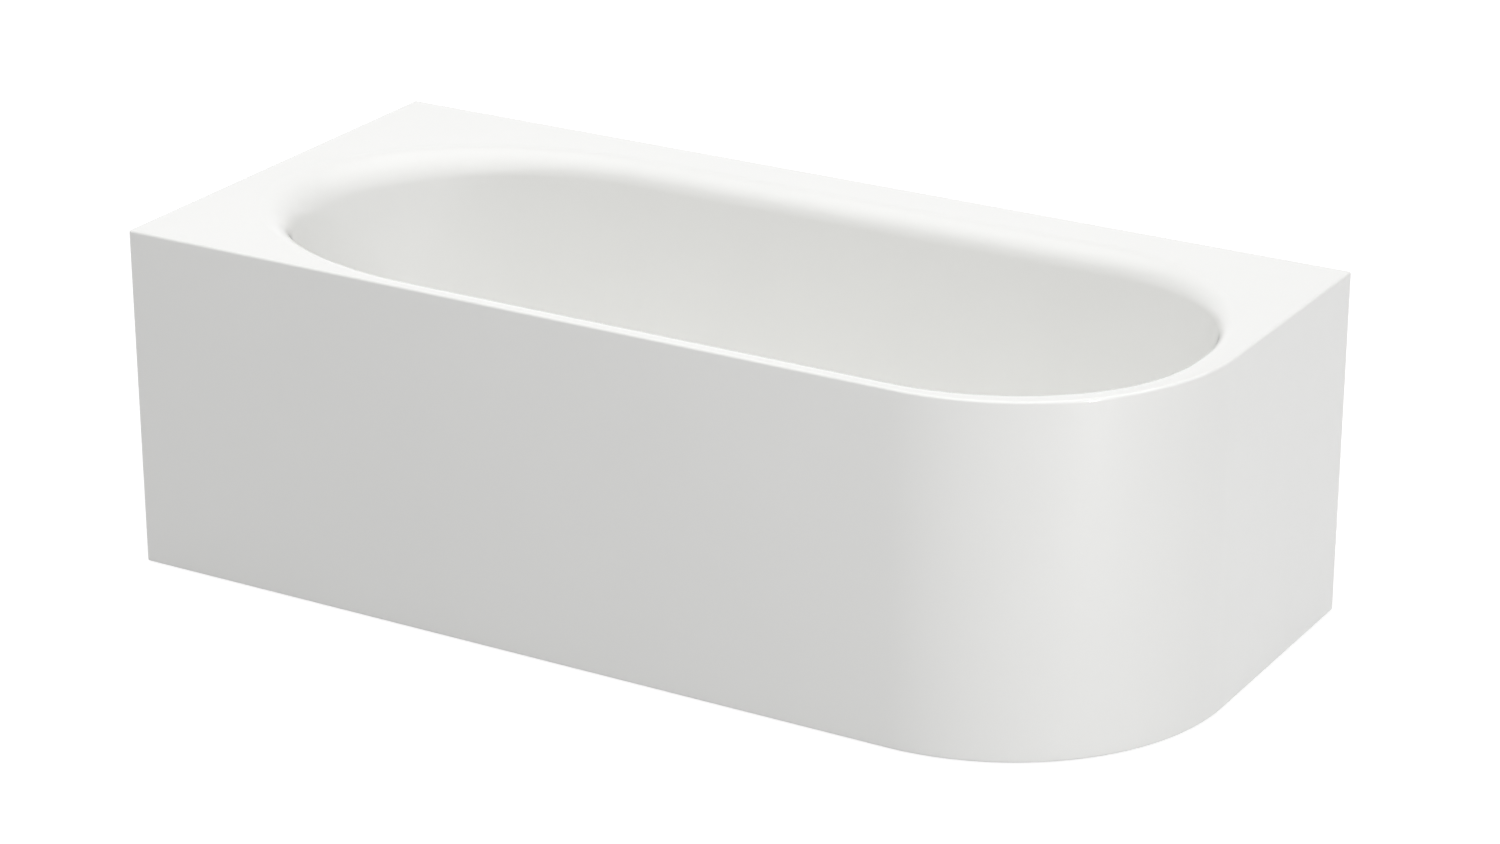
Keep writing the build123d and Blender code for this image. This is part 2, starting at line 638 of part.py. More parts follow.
export_step(end_stay.part, "parts/end_stay.step")

# Screws that hold the ties and the stay to the rails
with BuildPart() as tie_bolts:
    for bolt_rail_x, bolt_y in tie_bolt_places:
        head_x = bolt_rail_x + RAIL_WIDTH / 2 + TIE_T
        with BuildSketch(Plane(origin=(head_x, bolt_y, TIE_Z), z_dir=(1, 0, 0))):
            RegularPolygon(TIE_BOLT_HEAD_R, 6, major_radius=False)
        extrude(amount=TIE_BOLT_HEAD_H)
        with BuildSketch(Plane(origin=(head_x, bolt_y, TIE_Z), z_dir=(1, 0, 0))):
            Circle(TIE_BOLT_R)
        extrude(amount=-TIE_BOLT_LENGTH)
tie_bolts.part.label = "tie_bolts"
export_step(tie_bolts.part, "parts/tie_bolts.step")

# Sound-deadening mats: one under the floor and one on each long wall
with BuildPart() as floor_mat:
    mat_low_x = HEAD_RAIL_X + RAIL_WIDTH / 2 + MAT_MARGIN
    mat_high_x = FOOT_RAIL_X - RAIL_WIDTH / 2 - MAT_MARGIN
    with BuildSketch(Plane.XY.offset(FLOOR_UNDER)):
        with Locations(((mat_low_x + mat_high_x) / 2, BOWL_CENTRE_Y)):
            RectangleRounded(mat_high_x - mat_low_x, RAIL_PAD_LENGTH, MAT_CORNER_R)
    extrude(amount=-MAT_T)
floor_mat.part.label = "floor_mat"
export_step(floor_mat.part, "parts/floor_mat.step")

slope = radians(SIDE_SLOPE)
mat_drop = WALL_MAT_TOP_DROP + WALL_MAT_HEIGHT / 2
half_width = BOWL_WIDTH / 2 - mat_drop * tan(slope) + SHELL_T / cos(slope)
for side_name, side in (("front", -1), ("back", 1)):
    wall_plane = Plane(
        origin=(WALL_MAT_X, BOWL_CENTRE_Y + side * half_width, TOP - mat_drop),
        x_dir=(1, 0, 0),
        z_dir=(0, side * cos(slope), -sin(slope)),
    )
    with BuildPart() as wall_mat:
        with BuildSketch(wall_plane):
            RectangleRounded(WALL_MAT_LENGTH, WALL_MAT_HEIGHT, MAT_CORNER_R)
        extrude(amount=MAT_T)
    wall_mat.part.label = f"{side_name}_mat"
    export_step(wall_mat.part, f"parts/{side_name}_mat.step")

# Earthing tab under the deck, with its screw and nut
LUG_X = RIGHT - LUG_END_INSET
LUG_Y = BACK - LUG_BACK_INSET
LUG_TOP = TOP - SHELL_T
LUG_HOLE_Z = LUG_TOP - LUG_HOLE_DROP
lug_plane = Plane(origin=(LUG_X, LUG_Y, LUG_TOP), x_dir=(1, 0, 0), z_dir=(0, -1, 0))
with BuildPart() as earth_lug:
    with BuildSketch(lug_plane):
        Rectangle(LUG_WIDTH, LUG_LENGTH, align=(Align.CENTER, Align.MAX))
        with Locations((0, -LUG_HOLE_DROP)):
            Circle(LUG_HOLE_R, mode=Mode.SUBTRACT)
    extrude(amount=LUG_T)
    fillet(earth_lug.edges().filter_by(Axis.Y).group_by(Axis.Z)[0], LUG_CORNER_R)
earth_lug.part.label = "earth_lug"
export_step(earth_lug.part, "parts/earth_lug.step")

with BuildPart() as earth_screw:
    head_plane = Plane(origin=(LUG_X, LUG_Y - LUG_T, LUG_HOLE_Z), z_dir=(0, -1, 0))
    with BuildSketch(head_plane):
        RegularPolygon(LUG_HEAD_R, 6, major_radius=False)
    extrude(amount=LUG_HEAD_H)
    with BuildSketch(head_plane):
        Circle(LUG_SCREW_R)
    extrude(amount=-LUG_SCREW_LENGTH)
    with BuildSketch(Plane(origin=(LUG_X, LUG_Y, LUG_HOLE_Z), z_dir=(0, 1, 0))):
        RegularPolygon(LUG_HEAD_R, 6, major_radius=False)
        Circle(LUG_HOLE_R, mode=Mode.SUBTRACT)
    extrude(amount=LUG_NUT_H)
earth_screw.part.label = "earth_screw"
export_step(earth_screw.part, "parts/earth_screw.step")

# Waste: strainer flange with a guide for the plug's stem, on its seal in the pressed recess
with BuildPart() as flange_seal:
    add(ring(WASTE_SECTION, WASTE_HOLE_R, FLANGE_R - SEAL_INSET, RECESS_TOP, RECESS_TOP + FLANGE_SEAL_T))
flange_seal.part.label = "flange_seal"
export_step(flange_seal.part, "parts/flange_seal.step")

THROAT_END = FLANGE_TOP - THROAT_LENGTH
THROAT_BORE = THROAT_R - THROAT_WALL
with BuildPart() as waste_flange:
    flange_outline = [
        (THROAT_BORE, THROAT_END),
        (THROAT_R, THROAT_END),
        (THROAT_R, FLANGE_TOP - FLANGE_T),
        (FLANGE_R, FLANGE_TOP - FLANGE_T),
        (FLANGE_R, FLANGE_TOP - FLANGE_BEVEL),
        (FLANGE_R - FLANGE_BEVEL, FLANGE_TOP),
        (THROAT_BORE + FLANGE_DISH, FLANGE_TOP),
        (THROAT_BORE, FLANGE_TOP - FLANGE_DISH),
    ]
    add(turned(WASTE_SECTION, flange_outline))
    with BuildSketch(WASTE_PLAN.offset(THROAT_END)):
        Circle(GUIDE_R)
        with PolarLocations(0, SPOKE_COUNT):
            Rectangle(THROAT_BORE + THROAT_WALL / 2, GUIDE_SPOKE, align=(Align.MIN, Align.CENTER))
        Circle(PLUG_STEM_R + STEM_CLEARANCE, mode=Mode.SUBTRACT)
    extrude(amount=GUIDE_HEIGHT)
waste_flange.part.label = "waste_flange"
export_step(waste_flange.part, "parts/waste_flange.step")

with BuildPart() as body_seal:
    add(ring(WASTE_SECTION, WASTE_HOLE_R, BODY_RIM_R - SEAL_INSET, BODY_TOP, RECESS_UNDER))
body_seal.part.label = "body_seal"
export_step(body_seal.part, "parts/body_seal.step")

# Waste body: cup under the floor with the overflow's branch, the cable's port and the dip tube
with BuildPart() as waste_body:
    body_outline = [
        (THROAT_R + THREAD_CLEARANCE, BODY_TOP),
        (BODY_RIM_R, BODY_TOP),
        (BODY_RIM_R, BODY_TOP - BODY_RIM_T),
        (BODY_R, BODY_TOP - BODY_RIM_T),
        (BODY_R, BODY_BOTTOM),
        (DIP_R, BODY_BOTTOM),
        (DIP_R, DIP_END_Z),
        (DIP_R - DIP_WALL, DIP_END_Z),
        (DIP_R - DIP_WALL, BODY_BOTTOM + BODY_WALL),
        (BODY_R - BODY_WALL, BODY_BOTTOM + BODY_WALL),
        (BODY_R - BODY_WALL, BODY_TOP - BODY_NECK_HEIGHT),
        (THROAT_R + THREAD_CLEARANCE, BODY_TOP - BODY_NECK_HEIGHT),
    ]
    add(turned(WASTE_SECTION, body_outline))
    port_direction = Vector(cos(radians(PORT_ANGLE)), sin(radians(PORT_ANGLE)), 0)
    branches = ((Vector(1, 0, 0), BRANCH_R, BRANCH_REACH), (port_direction, PORT_R, PORT_REACH))
    for direction, outer_r, reach in branches:
        with BuildSketch(Plane(origin=(WASTE_X, BOWL_CENTRE_Y, BRANCH_Z), z_dir=direction)):
            Circle(outer_r)
        extrude(amount=reach)
    with BuildSketch(WASTE_PLAN.offset(BODY_BOTTOM + BODY_WALL)):
        Circle(BODY_R - BODY_WALL)
    extrude(amount=BODY_HEIGHT - BODY_WALL - BODY_NECK_HEIGHT, mode=Mode.SUBTRACT)
    with BuildSketch(WASTE_PLAN.offset(BODY_TOP - BODY_NECK_HEIGHT)):
        Circle(THROAT_R + THREAD_CLEARANCE)
    extrude(amount=BODY_NECK_HEIGHT, mode=Mode.SUBTRACT)
    with BuildSketch(Plane(origin=(WASTE_X, BOWL_CENTRE_Y, BRANCH_Z), z_dir=(1, 0, 0))):
        Circle(BRANCH_R - BRANCH_WALL)
    extrude(amount=BRANCH_REACH, mode=Mode.SUBTRACT)
waste_body.part.label = "waste_body"
export_step(waste_body.part, "parts/waste_body.step")

# Plug: domed cap on a stem, with its seal; it lifts out of the flange
PLUG_UNDER = FLANGE_TOP + PLUG_SEAT_GAP + PLUG_SEAL_T
with BuildPart() as waste_plug:
    with BuildSketch(WASTE_SECTION):
        with BuildLine():
            Line((0, PLUG_UNDER - PLUG_STEM_LENGTH), (PLUG_STEM_R, PLUG_UNDER - PLUG_STEM_LENGTH))
            Line((PLUG_STEM_R, PLUG_UNDER - PLUG_STEM_LENGTH), (PLUG_STEM_R, PLUG_UNDER))
            Line((PLUG_STEM_R, PLUG_UNDER), (PLUG_R, PLUG_UNDER))
            Line((PLUG_R, PLUG_UNDER), (PLUG_R, PLUG_UNDER + PLUG_EDGE_T))
            plug_top = PLUG_UNDER + PLUG_EDGE_T + PLUG_CROWN
            crown_r = (PLUG_R**2 + PLUG_CROWN**2) / (2 * PLUG_CROWN)
            RadiusArc((PLUG_R, PLUG_UNDER + PLUG_EDGE_T), (0, plug_top), -crown_r)
            Line((0, plug_top), (0, PLUG_UNDER - PLUG_STEM_LENGTH))
        make_face()
    revolve(axis=Axis(WASTE_SECTION.origin, WASTE_SECTION.y_dir))
waste_plug.part.label = "waste_plug"
export_step(waste_plug.part, "parts/waste_plug.step")

with BuildPart() as plug_seal:
    seal_r = PLUG_R - PLUG_SEAL_INSET
    add(ring(WASTE_SECTION, seal_r - PLUG_SEAL_WIDTH, seal_r, FLANGE_TOP + PLUG_SEAT_GAP, PLUG_UNDER))
plug_seal.part.label = "plug_seal"
export_step(plug_seal.part, "parts/plug_seal.step")

# Trap: a cup round the dip tube, with its neck on the waste body and its outlet towards the back wall
with BuildPart() as trap_body:
    trap_outline = [
        (0, TRAP_FLOOR_GAP),
        (TRAP_R - TRAP_EDGE_R, TRAP_FLOOR_GAP),
        (TRAP_R, TRAP_FLOOR_GAP + TRAP_EDGE_R),
        (TRAP_R, TRAP_TOP_Z),
        (NECK_R, TRAP_TOP_Z),
        (NECK_R, NECK_TOP),
        (DIP_R + DIP_CLEARANCE, NECK_TOP),
        (DIP_R + DIP_CLEARANCE, TRAP_TOP_Z - TRAP_WALL),
        (TRAP_R - TRAP_WALL, TRAP_TOP_Z - TRAP_WALL),
        (TRAP_R - TRAP_WALL, TRAP_FLOOR_GAP + TRAP_EDGE_R),
        (TRAP_R - TRAP_EDGE_R, TRAP_FLOOR_GAP + TRAP_WALL),
        (0, TRAP_FLOOR_GAP + TRAP_WALL),
    ]
    add(turned(WASTE_SECTION, trap_outline))
    outlet_start = Plane(origin=(WASTE_X, BOWL_CENTRE_Y + OUTLET_START, OUTLET_Z), z_dir=(0, 1, 0))
    with BuildSketch(outlet_start):
        Circle(OUTLET_R)
    extrude(amount=OUTLET_REACH - OUTLET_START)
    with BuildSketch(outlet_start):
        Circle(OUTLET_R - OUTLET_WALL)
    extrude(amount=OUTLET_REACH - OUTLET_START, mode=Mode.SUBTRACT)
    with BuildSketch(WASTE_PLAN.offset(TRAP_FLOOR_GAP + TRAP_EDGE_R)):
        Circle(TRAP_R - TRAP_WALL)
    extrude(amount=TRAP_TOP_Z - TRAP_WALL - TRAP_FLOOR_GAP - TRAP_EDGE_R, mode=Mode.SUBTRACT)
trap_body.part.label = "trap_body"
export_step(trap_body.part, "parts/trap_body.step")

with BuildPart() as trap_seal:
    add(ring(WASTE_SECTION, DIP_R + PIPE_CLEARANCE, NECK_R, NECK_TOP, NECK_TOP + TRAP_SEAL_T))
trap_seal.part.label = "trap_seal"
export_step(trap_seal.part, "parts/trap_seal.step")

with BuildPart() as trap_nut:
    nut_low = TRAP_TOP_Z + TRAP_NUT_GAP
    nut_face = NECK_TOP + TRAP_SEAL_T
    add(union_nut(WASTE_PLAN, NECK_R + PIPE_CLEARANCE, DIP_R + PIPE_CLEARANCE, nut_low, nut_face))
trap_nut.part.label = "trap_nut"
export_step(trap_nut.part, "parts/trap_nut.step")

with BuildPart() as outlet_nut:
    outlet_plane = Plane(origin=(WASTE_X, OUTLET_END, OUTLET_Z), z_dir=(0, 1, 0))
    add(union_nut(outlet_plane, OUTLET_R + PIPE_CLEARANCE, PIPE_R + PIPE_CLEARANCE, -OUTLET_NUT_LENGTH, 0))
outlet_nut.part.label = "outlet_nut"
export_step(outlet_nut.part, "parts/outlet_nut.step")

# Outlet elbow: turns in the trap's outlet to meet the building's drain
with BuildPart() as outlet_elbow:
    bend = radians(PIPE_BEND)
    elbow_start = OUTLET_END - PIPE_INSERT
    elbow_corner = OUTLET_END + PIPE_RUN + PIPE_BEND_R * tan(bend / 2)
    elbow_leg = PIPE_BEND_R * tan(bend / 2) + PIPE_TAIL
    with BuildLine() as elbow_path:
        FilletPolyline(
            (WASTE_X, elbow_start, OUTLET_Z),
            (WASTE_X, elbow_corner, OUTLET_Z),
            (WASTE_X - elbow_leg * sin(bend), elbow_corner + elbow_leg * cos(bend), OUTLET_Z),
            radius=PIPE_BEND_R,
        )
    with BuildSketch(Plane(origin=(WASTE_X, elbow_start, OUTLET_Z), z_dir=(0, 1, 0))):
        Circle(PIPE_R)
        Circle(PIPE_R - PIPE_WALL, mode=Mode.SUBTRACT)
    sweep()
outlet_elbow.part.label = "outlet_elbow"
export_step(outlet_elbow.part, "parts/outlet_elbow.step")

# Overflow: flange with the knob's bearing in the pressed recess, seal, and body behind the wall
NECK_END = SHELL_T + OVERFLOW_RECESS_DEPTH
BODY_FRONT = NECK_END + OVERFLOW_SEAL_T
BODY_BACK = BODY_FRONT + OVERFLOW_BODY_LENGTH
FLANGE_FRONT = OVERFLOW_RECESS_DEPTH - OVERFLOW_FLANGE_T
BEARING_R = KNOB_SHAFT_R + KNOB_RUNNING_GAP
with BuildPart() as overflow_flange:
    throat_bore = OVERFLOW_THROAT_R - OVERFLOW_THROAT_WALL
    flange_outline = [
        (throat_bore, FLANGE_FRONT),
        (OVERFLOW_FLANGE_R - FLANGE_BEVEL, FLANGE_FRONT),
        (OVERFLOW_FLANGE_R, FLANGE_FRONT + FLANGE_BEVEL),
        (OVERFLOW_FLANGE_R, OVERFLOW_RECESS_DEPTH),
        (OVERFLOW_THROAT_R, OVERFLOW_RECESS_DEPTH),
        (OVERFLOW_THROAT_R, OVERFLOW_RECESS_DEPTH + OVERFLOW_THROAT_LENGTH),
        (throat_bore, OVERFLOW_RECESS_DEPTH + OVERFLOW_THROAT_LENGTH),
    ]
    add(turned(OVERFLOW_SECTION, flange_outline))
    with BuildSketch(OVERFLOW.offset(FLANGE_FRONT)):
        Circle(OVERFLOW_HUB_R)
        with PolarLocations(0, SPOKE_COUNT):
            spoke_length = throat_bore + OVERFLOW_THROAT_WALL / 2
            Rectangle(spoke_length, OVERFLOW_SPOKE, align=(Align.MIN, Align.CENTER))
        Circle(BEARING_R, mode=Mode.SUBTRACT)
    extrude(amount=OVERFLOW_HUB_LENGTH)
overflow_flange.part.label = "overflow_flange"
export_step(overflow_flange.part, "parts/overflow_flange.step")

with BuildPart() as overflow_seal:
    add(ring(OVERFLOW_SECTION, OVERFLOW_HOLE_R, OVERFLOW_BODY_RIM_R - SEAL_INSET, NECK_END, BODY_FRONT))
overflow_seal.part.label = "overflow_seal"
export_step(overflow_seal.part, "parts/overflow_seal.step")

body_middle = OVERFLOW.origin + OVERFLOW.z_dir * ((BODY_FRONT + BODY_BACK) / 2)
pipe_top = Vector(body_middle.X, body_middle.Y, OVERFLOW_PIPE_TOP_Z)
nipple_end = Vector(body_middle.X, body_middle.Y - NIPPLE_SIDE, NIPPLE_END_Z)
with BuildPart() as overflow_body:
    body_outline = [
        (OVERFLOW_THROAT_R + THREAD_CLEARANCE, BODY_FRONT),
        (OVERFLOW_BODY_RIM_R, BODY_FRONT),
        (OVERFLOW_BODY_RIM_R, BODY_FRONT + OVERFLOW_BODY_RIM_T),
        (OVERFLOW_BODY_R, BODY_FRONT + OVERFLOW_BODY_RIM_T),
        (OVERFLOW_BODY_R, BODY_BACK),
        (0, BODY_BACK),
        (0, BODY_BACK - OVERFLOW_BODY_WALL),
        (OVERFLOW_THROAT_R + THREAD_CLEARANCE, BODY_BACK - OVERFLOW_BODY_WALL),
    ]
    add(turned(OVERFLOW_SECTION, body_outline))
    with BuildSketch(Plane(origin=pipe_top)):
        Circle(OVERFLOW_PIPE_R)
    extrude(amount=body_middle.Z - OUTLET_TUBE_TOP_DROP - OVERFLOW_PIPE_TOP_Z)
    with BuildSketch(Plane(origin=nipple_end)):
        Circle(NIPPLE_R)
    extrude(amount=body_middle.Z - NIPPLE_TOP_DROP - NIPPLE_END_Z)
    with BuildSketch(OVERFLOW.offset(BODY_FRONT)):
        Circle(OVERFLOW_THROAT_R + THREAD_CLEARANCE)
    extrude(amount=OVERFLOW_BODY_LENGTH - OVERFLOW_BODY_WALL, mode=Mode.SUBTRACT)
    with BuildSketch(Plane(origin=pipe_top)):
        Circle(OVERFLOW_PIPE_R - OVERFLOW_PIPE_WALL)
    extrude(amount=body_middle.Z - OVERFLOW_PIPE_TOP_Z, mode=Mode.SUBTRACT)
overflow_body.part.label = "overflow_body"
export_step(overflow_body.part, "parts/overflow_body.step")

# Rotary knob: a disc with a grip bar; its shaft turns in the flange's bearing
KNOB_BACK = FLANGE_FRONT - KNOB_GAP
KNOB_FRONT = KNOB_BACK - KNOB_T
with BuildPart() as overflow_knob:
    knob_outline = [
        (0, KNOB_FRONT),
        (KNOB_R - KNOB_EDGE, KNOB_FRONT),
        (KNOB_R, KNOB_FRONT + KNOB_EDGE),
        (KNOB_R, KNOB_BACK),
        (KNOB_SHAFT_R, KNOB_BACK),
        (KNOB_SHAFT_R, KNOB_BACK + KNOB_SHAFT_LENGTH),
        (0, KNOB_BACK + KNOB_SHAFT_LENGTH),
    ]
    add(turned(OVERFLOW_SECTION, knob_outline))
    with BuildSketch(OVERFLOW.offset(KNOB_FRONT)):
        SlotOverall(2 * (KNOB_R - KNOB_GRIP_INSET), KNOB_GRIP_WIDTH)
    extrude(amount=-KNOB_GRIP_HEIGHT)
overflow_knob.part.label = "overflow_knob"
export_step(overflow_knob.part, "parts/overflow_knob.step")

# Rigid overflow pipe, bent to run from the overflow body down to the waste body's branch
pipe_end = Vector(WASTE_X + BRANCH_REACH, BOWL_CENTRE_Y, BRANCH_Z)
with BuildPart() as overflow_pipe:
    with BuildLine():
        pipe_corner = Vector(pipe_top.X, pipe_top.Y, BRANCH_Z)
        FilletPolyline(pipe_top, pipe_corner, pipe_end, radius=OVERFLOW_PIPE_BEND_R)
    with BuildSketch(Plane(origin=pipe_top, z_dir=(0, 0, -1))):
        Circle(OVERFLOW_PIPE_R)
        Circle(OVERFLOW_PIPE_R - OVERFLOW_PIPE_WALL, mode=Mode.SUBTRACT)
    sweep()
overflow_pipe.part.label = "overflow_pipe"
export_step(overflow_pipe.part, "parts/overflow_pipe.step")

# Union nuts over both joints of the overflow pipe
for end, plane in (("upper", Plane(origin=pipe_top)), ("lower", Plane(origin=pipe_end, z_dir=(1, 0, 0)))):
    with BuildPart() as pipe_nut:
        with BuildSketch(plane.offset(-PIPE_NUT_LENGTH / 2)):
            RegularPolygon(OVERFLOW_PIPE_R + PIPE_CLEARANCE + NUT_WALL, NUT_SIDES)
            Circle(OVERFLOW_PIPE_R + PIPE_CLEARANCE, mode=Mode.SUBTRACT)
        extrude(amount=PIPE_NUT_LENGTH)
    pipe_nut.part.label = f"pipe_nut_{end}"
    export_step(pipe_nut.part, f"parts/pipe_nut_{end}.step")
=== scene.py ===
import json
from math import asin, cos, pi, radians, sin, tan

import bmesh
import bpy
from bpy.props import FloatProperty, FloatVectorProperty, IntProperty, PointerProperty
from mathutils import Matrix, Vector
from mathutils.bvhtree import BVHTree


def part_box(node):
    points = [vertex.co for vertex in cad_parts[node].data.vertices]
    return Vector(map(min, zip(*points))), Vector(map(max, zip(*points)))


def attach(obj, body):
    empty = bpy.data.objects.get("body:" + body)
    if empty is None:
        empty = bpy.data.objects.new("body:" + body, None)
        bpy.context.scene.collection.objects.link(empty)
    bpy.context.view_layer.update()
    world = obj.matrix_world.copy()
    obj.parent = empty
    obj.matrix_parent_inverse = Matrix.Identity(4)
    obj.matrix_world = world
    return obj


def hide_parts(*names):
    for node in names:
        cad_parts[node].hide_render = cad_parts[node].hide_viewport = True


bl_info = {
    "name": "Panelled bathtub",
    "version": (1, 0, 0),
    "blender": (4, 5, 0),
    "location": "View3D > Sidebar > Bath",
    "description": "Dresses the packed model of an enamelled corner bath with a panel",
    "category": "Object",
}

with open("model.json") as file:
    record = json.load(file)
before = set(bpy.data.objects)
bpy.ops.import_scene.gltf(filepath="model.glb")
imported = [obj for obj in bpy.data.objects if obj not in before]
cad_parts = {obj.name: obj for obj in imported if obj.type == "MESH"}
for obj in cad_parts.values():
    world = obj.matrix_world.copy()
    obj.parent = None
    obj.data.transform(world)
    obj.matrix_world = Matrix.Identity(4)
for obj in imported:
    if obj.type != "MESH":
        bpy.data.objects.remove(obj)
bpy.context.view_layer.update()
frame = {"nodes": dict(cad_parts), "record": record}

MM = 0.001
UP = Vector((0, 0, 1))
ENAMEL, ZINC, CHROME, WHITE_PLASTIC, DARK_PLASTIC, RUBBER, BITUMEN = (
    "Vitreous enamel on steel",
    "Zinc-plated steel",
    "Chromed brass",
    "Polypropylene, white",
    "Polyamide, black",
    "EPDM rubber",
    "Bitumen felt",
)
FINISHES = {
    "enamel": ENAMEL,
    "zinc_steel": ZINC,
    "chrome": CHROME,
    "white_plastic": WHITE_PLASTIC,
    "dark_plastic": DARK_PLASTIC,
    "rubber": RUBBER,
    "deadening_mat": BITUMEN,
}


def linear(code):
    """Linear colour with alpha from an sRGB hex code."""
    channels = [int(code[i : i + 2], 16) / 255 for i in (1, 3, 5)]
    return [c / 12.92 if c <= 0.04045 else ((c + 0.055) / 1.055) ** 2.4 for c in channels] + [1.0]


def length(name, description, size):
    """Length property whose default is given in millimetres."""
    return FloatProperty(name=name, description=description, default=size * MM, min=0, unit="LENGTH")


def colour(name, description, code):
    """Colour property whose default is an sRGB hex code."""
    return FloatVectorProperty(
        name=name, description=description, default=linear(code), size=4, min=0, max=1, subtype="COLOR"
    )


def angle(name, description, degrees):
    """Angle property whose default is given in degrees."""
    return FloatProperty(name=name, description=description, default=radians(degrees), unit="ROTATION")


class BathSizes(bpy.types.PropertyGroup):
    edge: length("Deck edge", "Radius of the deck's outer edge and of the square corners", 4)
    corner: length("Free corner", "Radius of the rounded corner in plan", 374)
    sheet: length("Sheet", "Thickness of the enamelled steel", 2.5)
    lip: length("Lip", "Radius where the deck turns down into the bowl", 26)
    head_lip: length("Head lip", "Radius of the softer lip above the back rest", 72)
    back_lip: length("Back lip", "Radius of the softer lip along the back", 42)
    floor_round: length("Floor edge", "Radius where the bowl's wall meets its floor", 110)
    rim_front: length("Front rim", "Deck width at the front", 37.5)
    rim_back: length("Back rim", "Deck width at the back", 115.5)
    rim_head: length("Head rim", "Deck width at the head end", 102)
    rim_foot: length("Foot rim", "Deck width at the foot end", 51.5)
    head_curve: length("Head curve", "Length of the half ellipse at the head end", 420)
    floor_height: length("Floor height", "Height of the bowl's floor above the room's floor", 153)
    skirt: length("Skirt", "Depth of the rim's turned-down edge over the panel", 6)
    flange: length("Wall flange", "Depth of the rim's turned-down edge at the walls", 30)
    panel_gap: length("Panel gap", "Gap between the panel and the room's floor", 2)
    panel_return: length("Panel return", "Width of the panel's returns at the walls", 25)
    panel_foot: length("Panel foot", "Width of the flange along the panel's foot", 20)
    front_share: FloatProperty(name="Front round", description="Share of the bowl's width", default=0.5487)
    end_share: FloatProperty(name="End round", description="Share of the bowl's width", default=0.4328)
    back_share: FloatProperty(name="Back round", description="Share of the bowl's width", default=0.49)
    side_slope: angle("Side slope", "Slope of the bowl's long walls", 6)
    head_slope: angle("Head slope", "Slope of the bowl's back rest", 18)
    foot_slope: angle("Foot slope", "Slope of the bowl's foot end", 14)
    recess: length("Waste recess", "Radius of the pressed seat of the waste", 46)
    recess_depth: length("Waste recess depth", "Depth of the pressed seat of the waste", 4)
    waste_hole: length("Waste hole", "Radius of the hole for the waste", 26)
    overflow_drop: length("Overflow drop", "Depth of the overflow below the deck", 95)
    overflow_recess: length("Overflow recess", "Radius of the pressed seat of the overflow", 39)
    overflow_depth: length("Overflow recess depth", "Depth of the pressed seat of the overflow", 2.5)
    overflow_hole: length("Overflow hole", "Radius of the hole for the overflow", 26)
    lip_steps: IntProperty(name="Lip steps", description="Rows of faces round the lip", default=32, min=4)


class BathColours(bpy.types.PropertyGroup):
    enamel: colour("Enamel", "White of the enamel", "#F3F3F1")
    enamel_shade: colour("Enamel shade", "Slightly greyer white in the enamel", "#F0F0EE")
    zinc: colour("Zinc", "Light grey of zinc plating", "#B9BDC1")
    zinc_shade: colour("Zinc shade", "Darker grains of zinc plating", "#8F959B")
    chrome: colour("Chrome", "Reflection of polished chromium", "#E4E7EA")
    chrome_shade: colour("Chrome shade", "Slightly cooler patches of chromium", "#DDE1E5")
    plastic: colour("White plastic", "White of the drain fittings", "#ECECE8")
    plastic_shade: colour("White plastic shade", "Yellower white of thick mouldings", "#E2E1DA")
    polyamide: colour("Black plastic", "Black of the foot pads", "#202123")
    rubber: colour("Rubber", "Black of seals and soles", "#161617")
    rubber_bloom: colour("Rubber bloom", "Grey bloom on rubber", "#2C2D2E")
    bitumen: colour("Bitumen", "Grey black of the deadening mats", "#2A2927")
    bitumen_dust: colour("Bitumen dust", "Talc left on the mats", "#4B4A47")
    floor: colour("Floor", "Pale floor", "#8C8C8C")


def node(tree, kind, settings=None, links=None):
    """Add a node; settings are properties or input values, links are inputs fed by another socket."""
    made = tree.nodes.new(kind)
    for name, value in (settings or {}).items():
        if isinstance(name, str) and hasattr(made, name):
            setattr(made, name, value)
        else:
            made.inputs[name].default_value = value
    for name, socket in (links or {}).items():
        tree.links.new(socket, made.inputs[name])
    return made


def new_material(name):
    """Empty node material with its shader and output; returns its tree, shader and object coordinates."""
    material = bpy.data.materials.new(name)
    material.use_nodes = True
    tree = material.node_tree
    tree.nodes.clear()
    shader = node(tree, "ShaderNodeBsdfPrincipled")
    node(tree, "ShaderNodeOutputMaterial", links={"Surface": shader.outputs["BSDF"]})
    place = node(tree, "ShaderNodeTexCoord").outputs["Object"]
    return tree, shader, place


def mottled(tree, shader, place, colours, cloud, grain, roughness, depth, detail=3.0):
    """Finish with a cloud of two colours and a fine grain in its roughness and relief.

    cloud and grain are the sizes of their features and depth is the grain's height, all in millimetres.
    """
    patches = node(tree, "ShaderNodeTexNoise", {"Scale": 1 / (cloud * MM)}, {"Vector": place})
    mix = node(tree, "ShaderNodeMix", {"data_type": "RGBA", 6: colours[0], 7: colours[1]}, {0: patches.outputs[0]})
    grains = node(tree, "ShaderNodeTexNoise", {"Scale": 1 / (grain * MM), "Detail": detail}, {"Vector": place})
    span = {"From Min": 0.3, "From Max": 0.7, "To Min": roughness[0], "To Max": roughness[1]}
    gloss = node(tree, "ShaderNodeMapRange", span, {"Value": grains.outputs[0]})
    relief = node(tree, "ShaderNodeBump", {"Distance": depth * MM}, {"Height": grains.outputs[0]})
    tree.links.new(mix.outputs[2], shader.inputs["Base Color"])
    tree.links.new(gloss.outputs[0], shader.inputs["Roughness"])
    tree.links.new(relief.outputs[0], shader.inputs["Normal"])


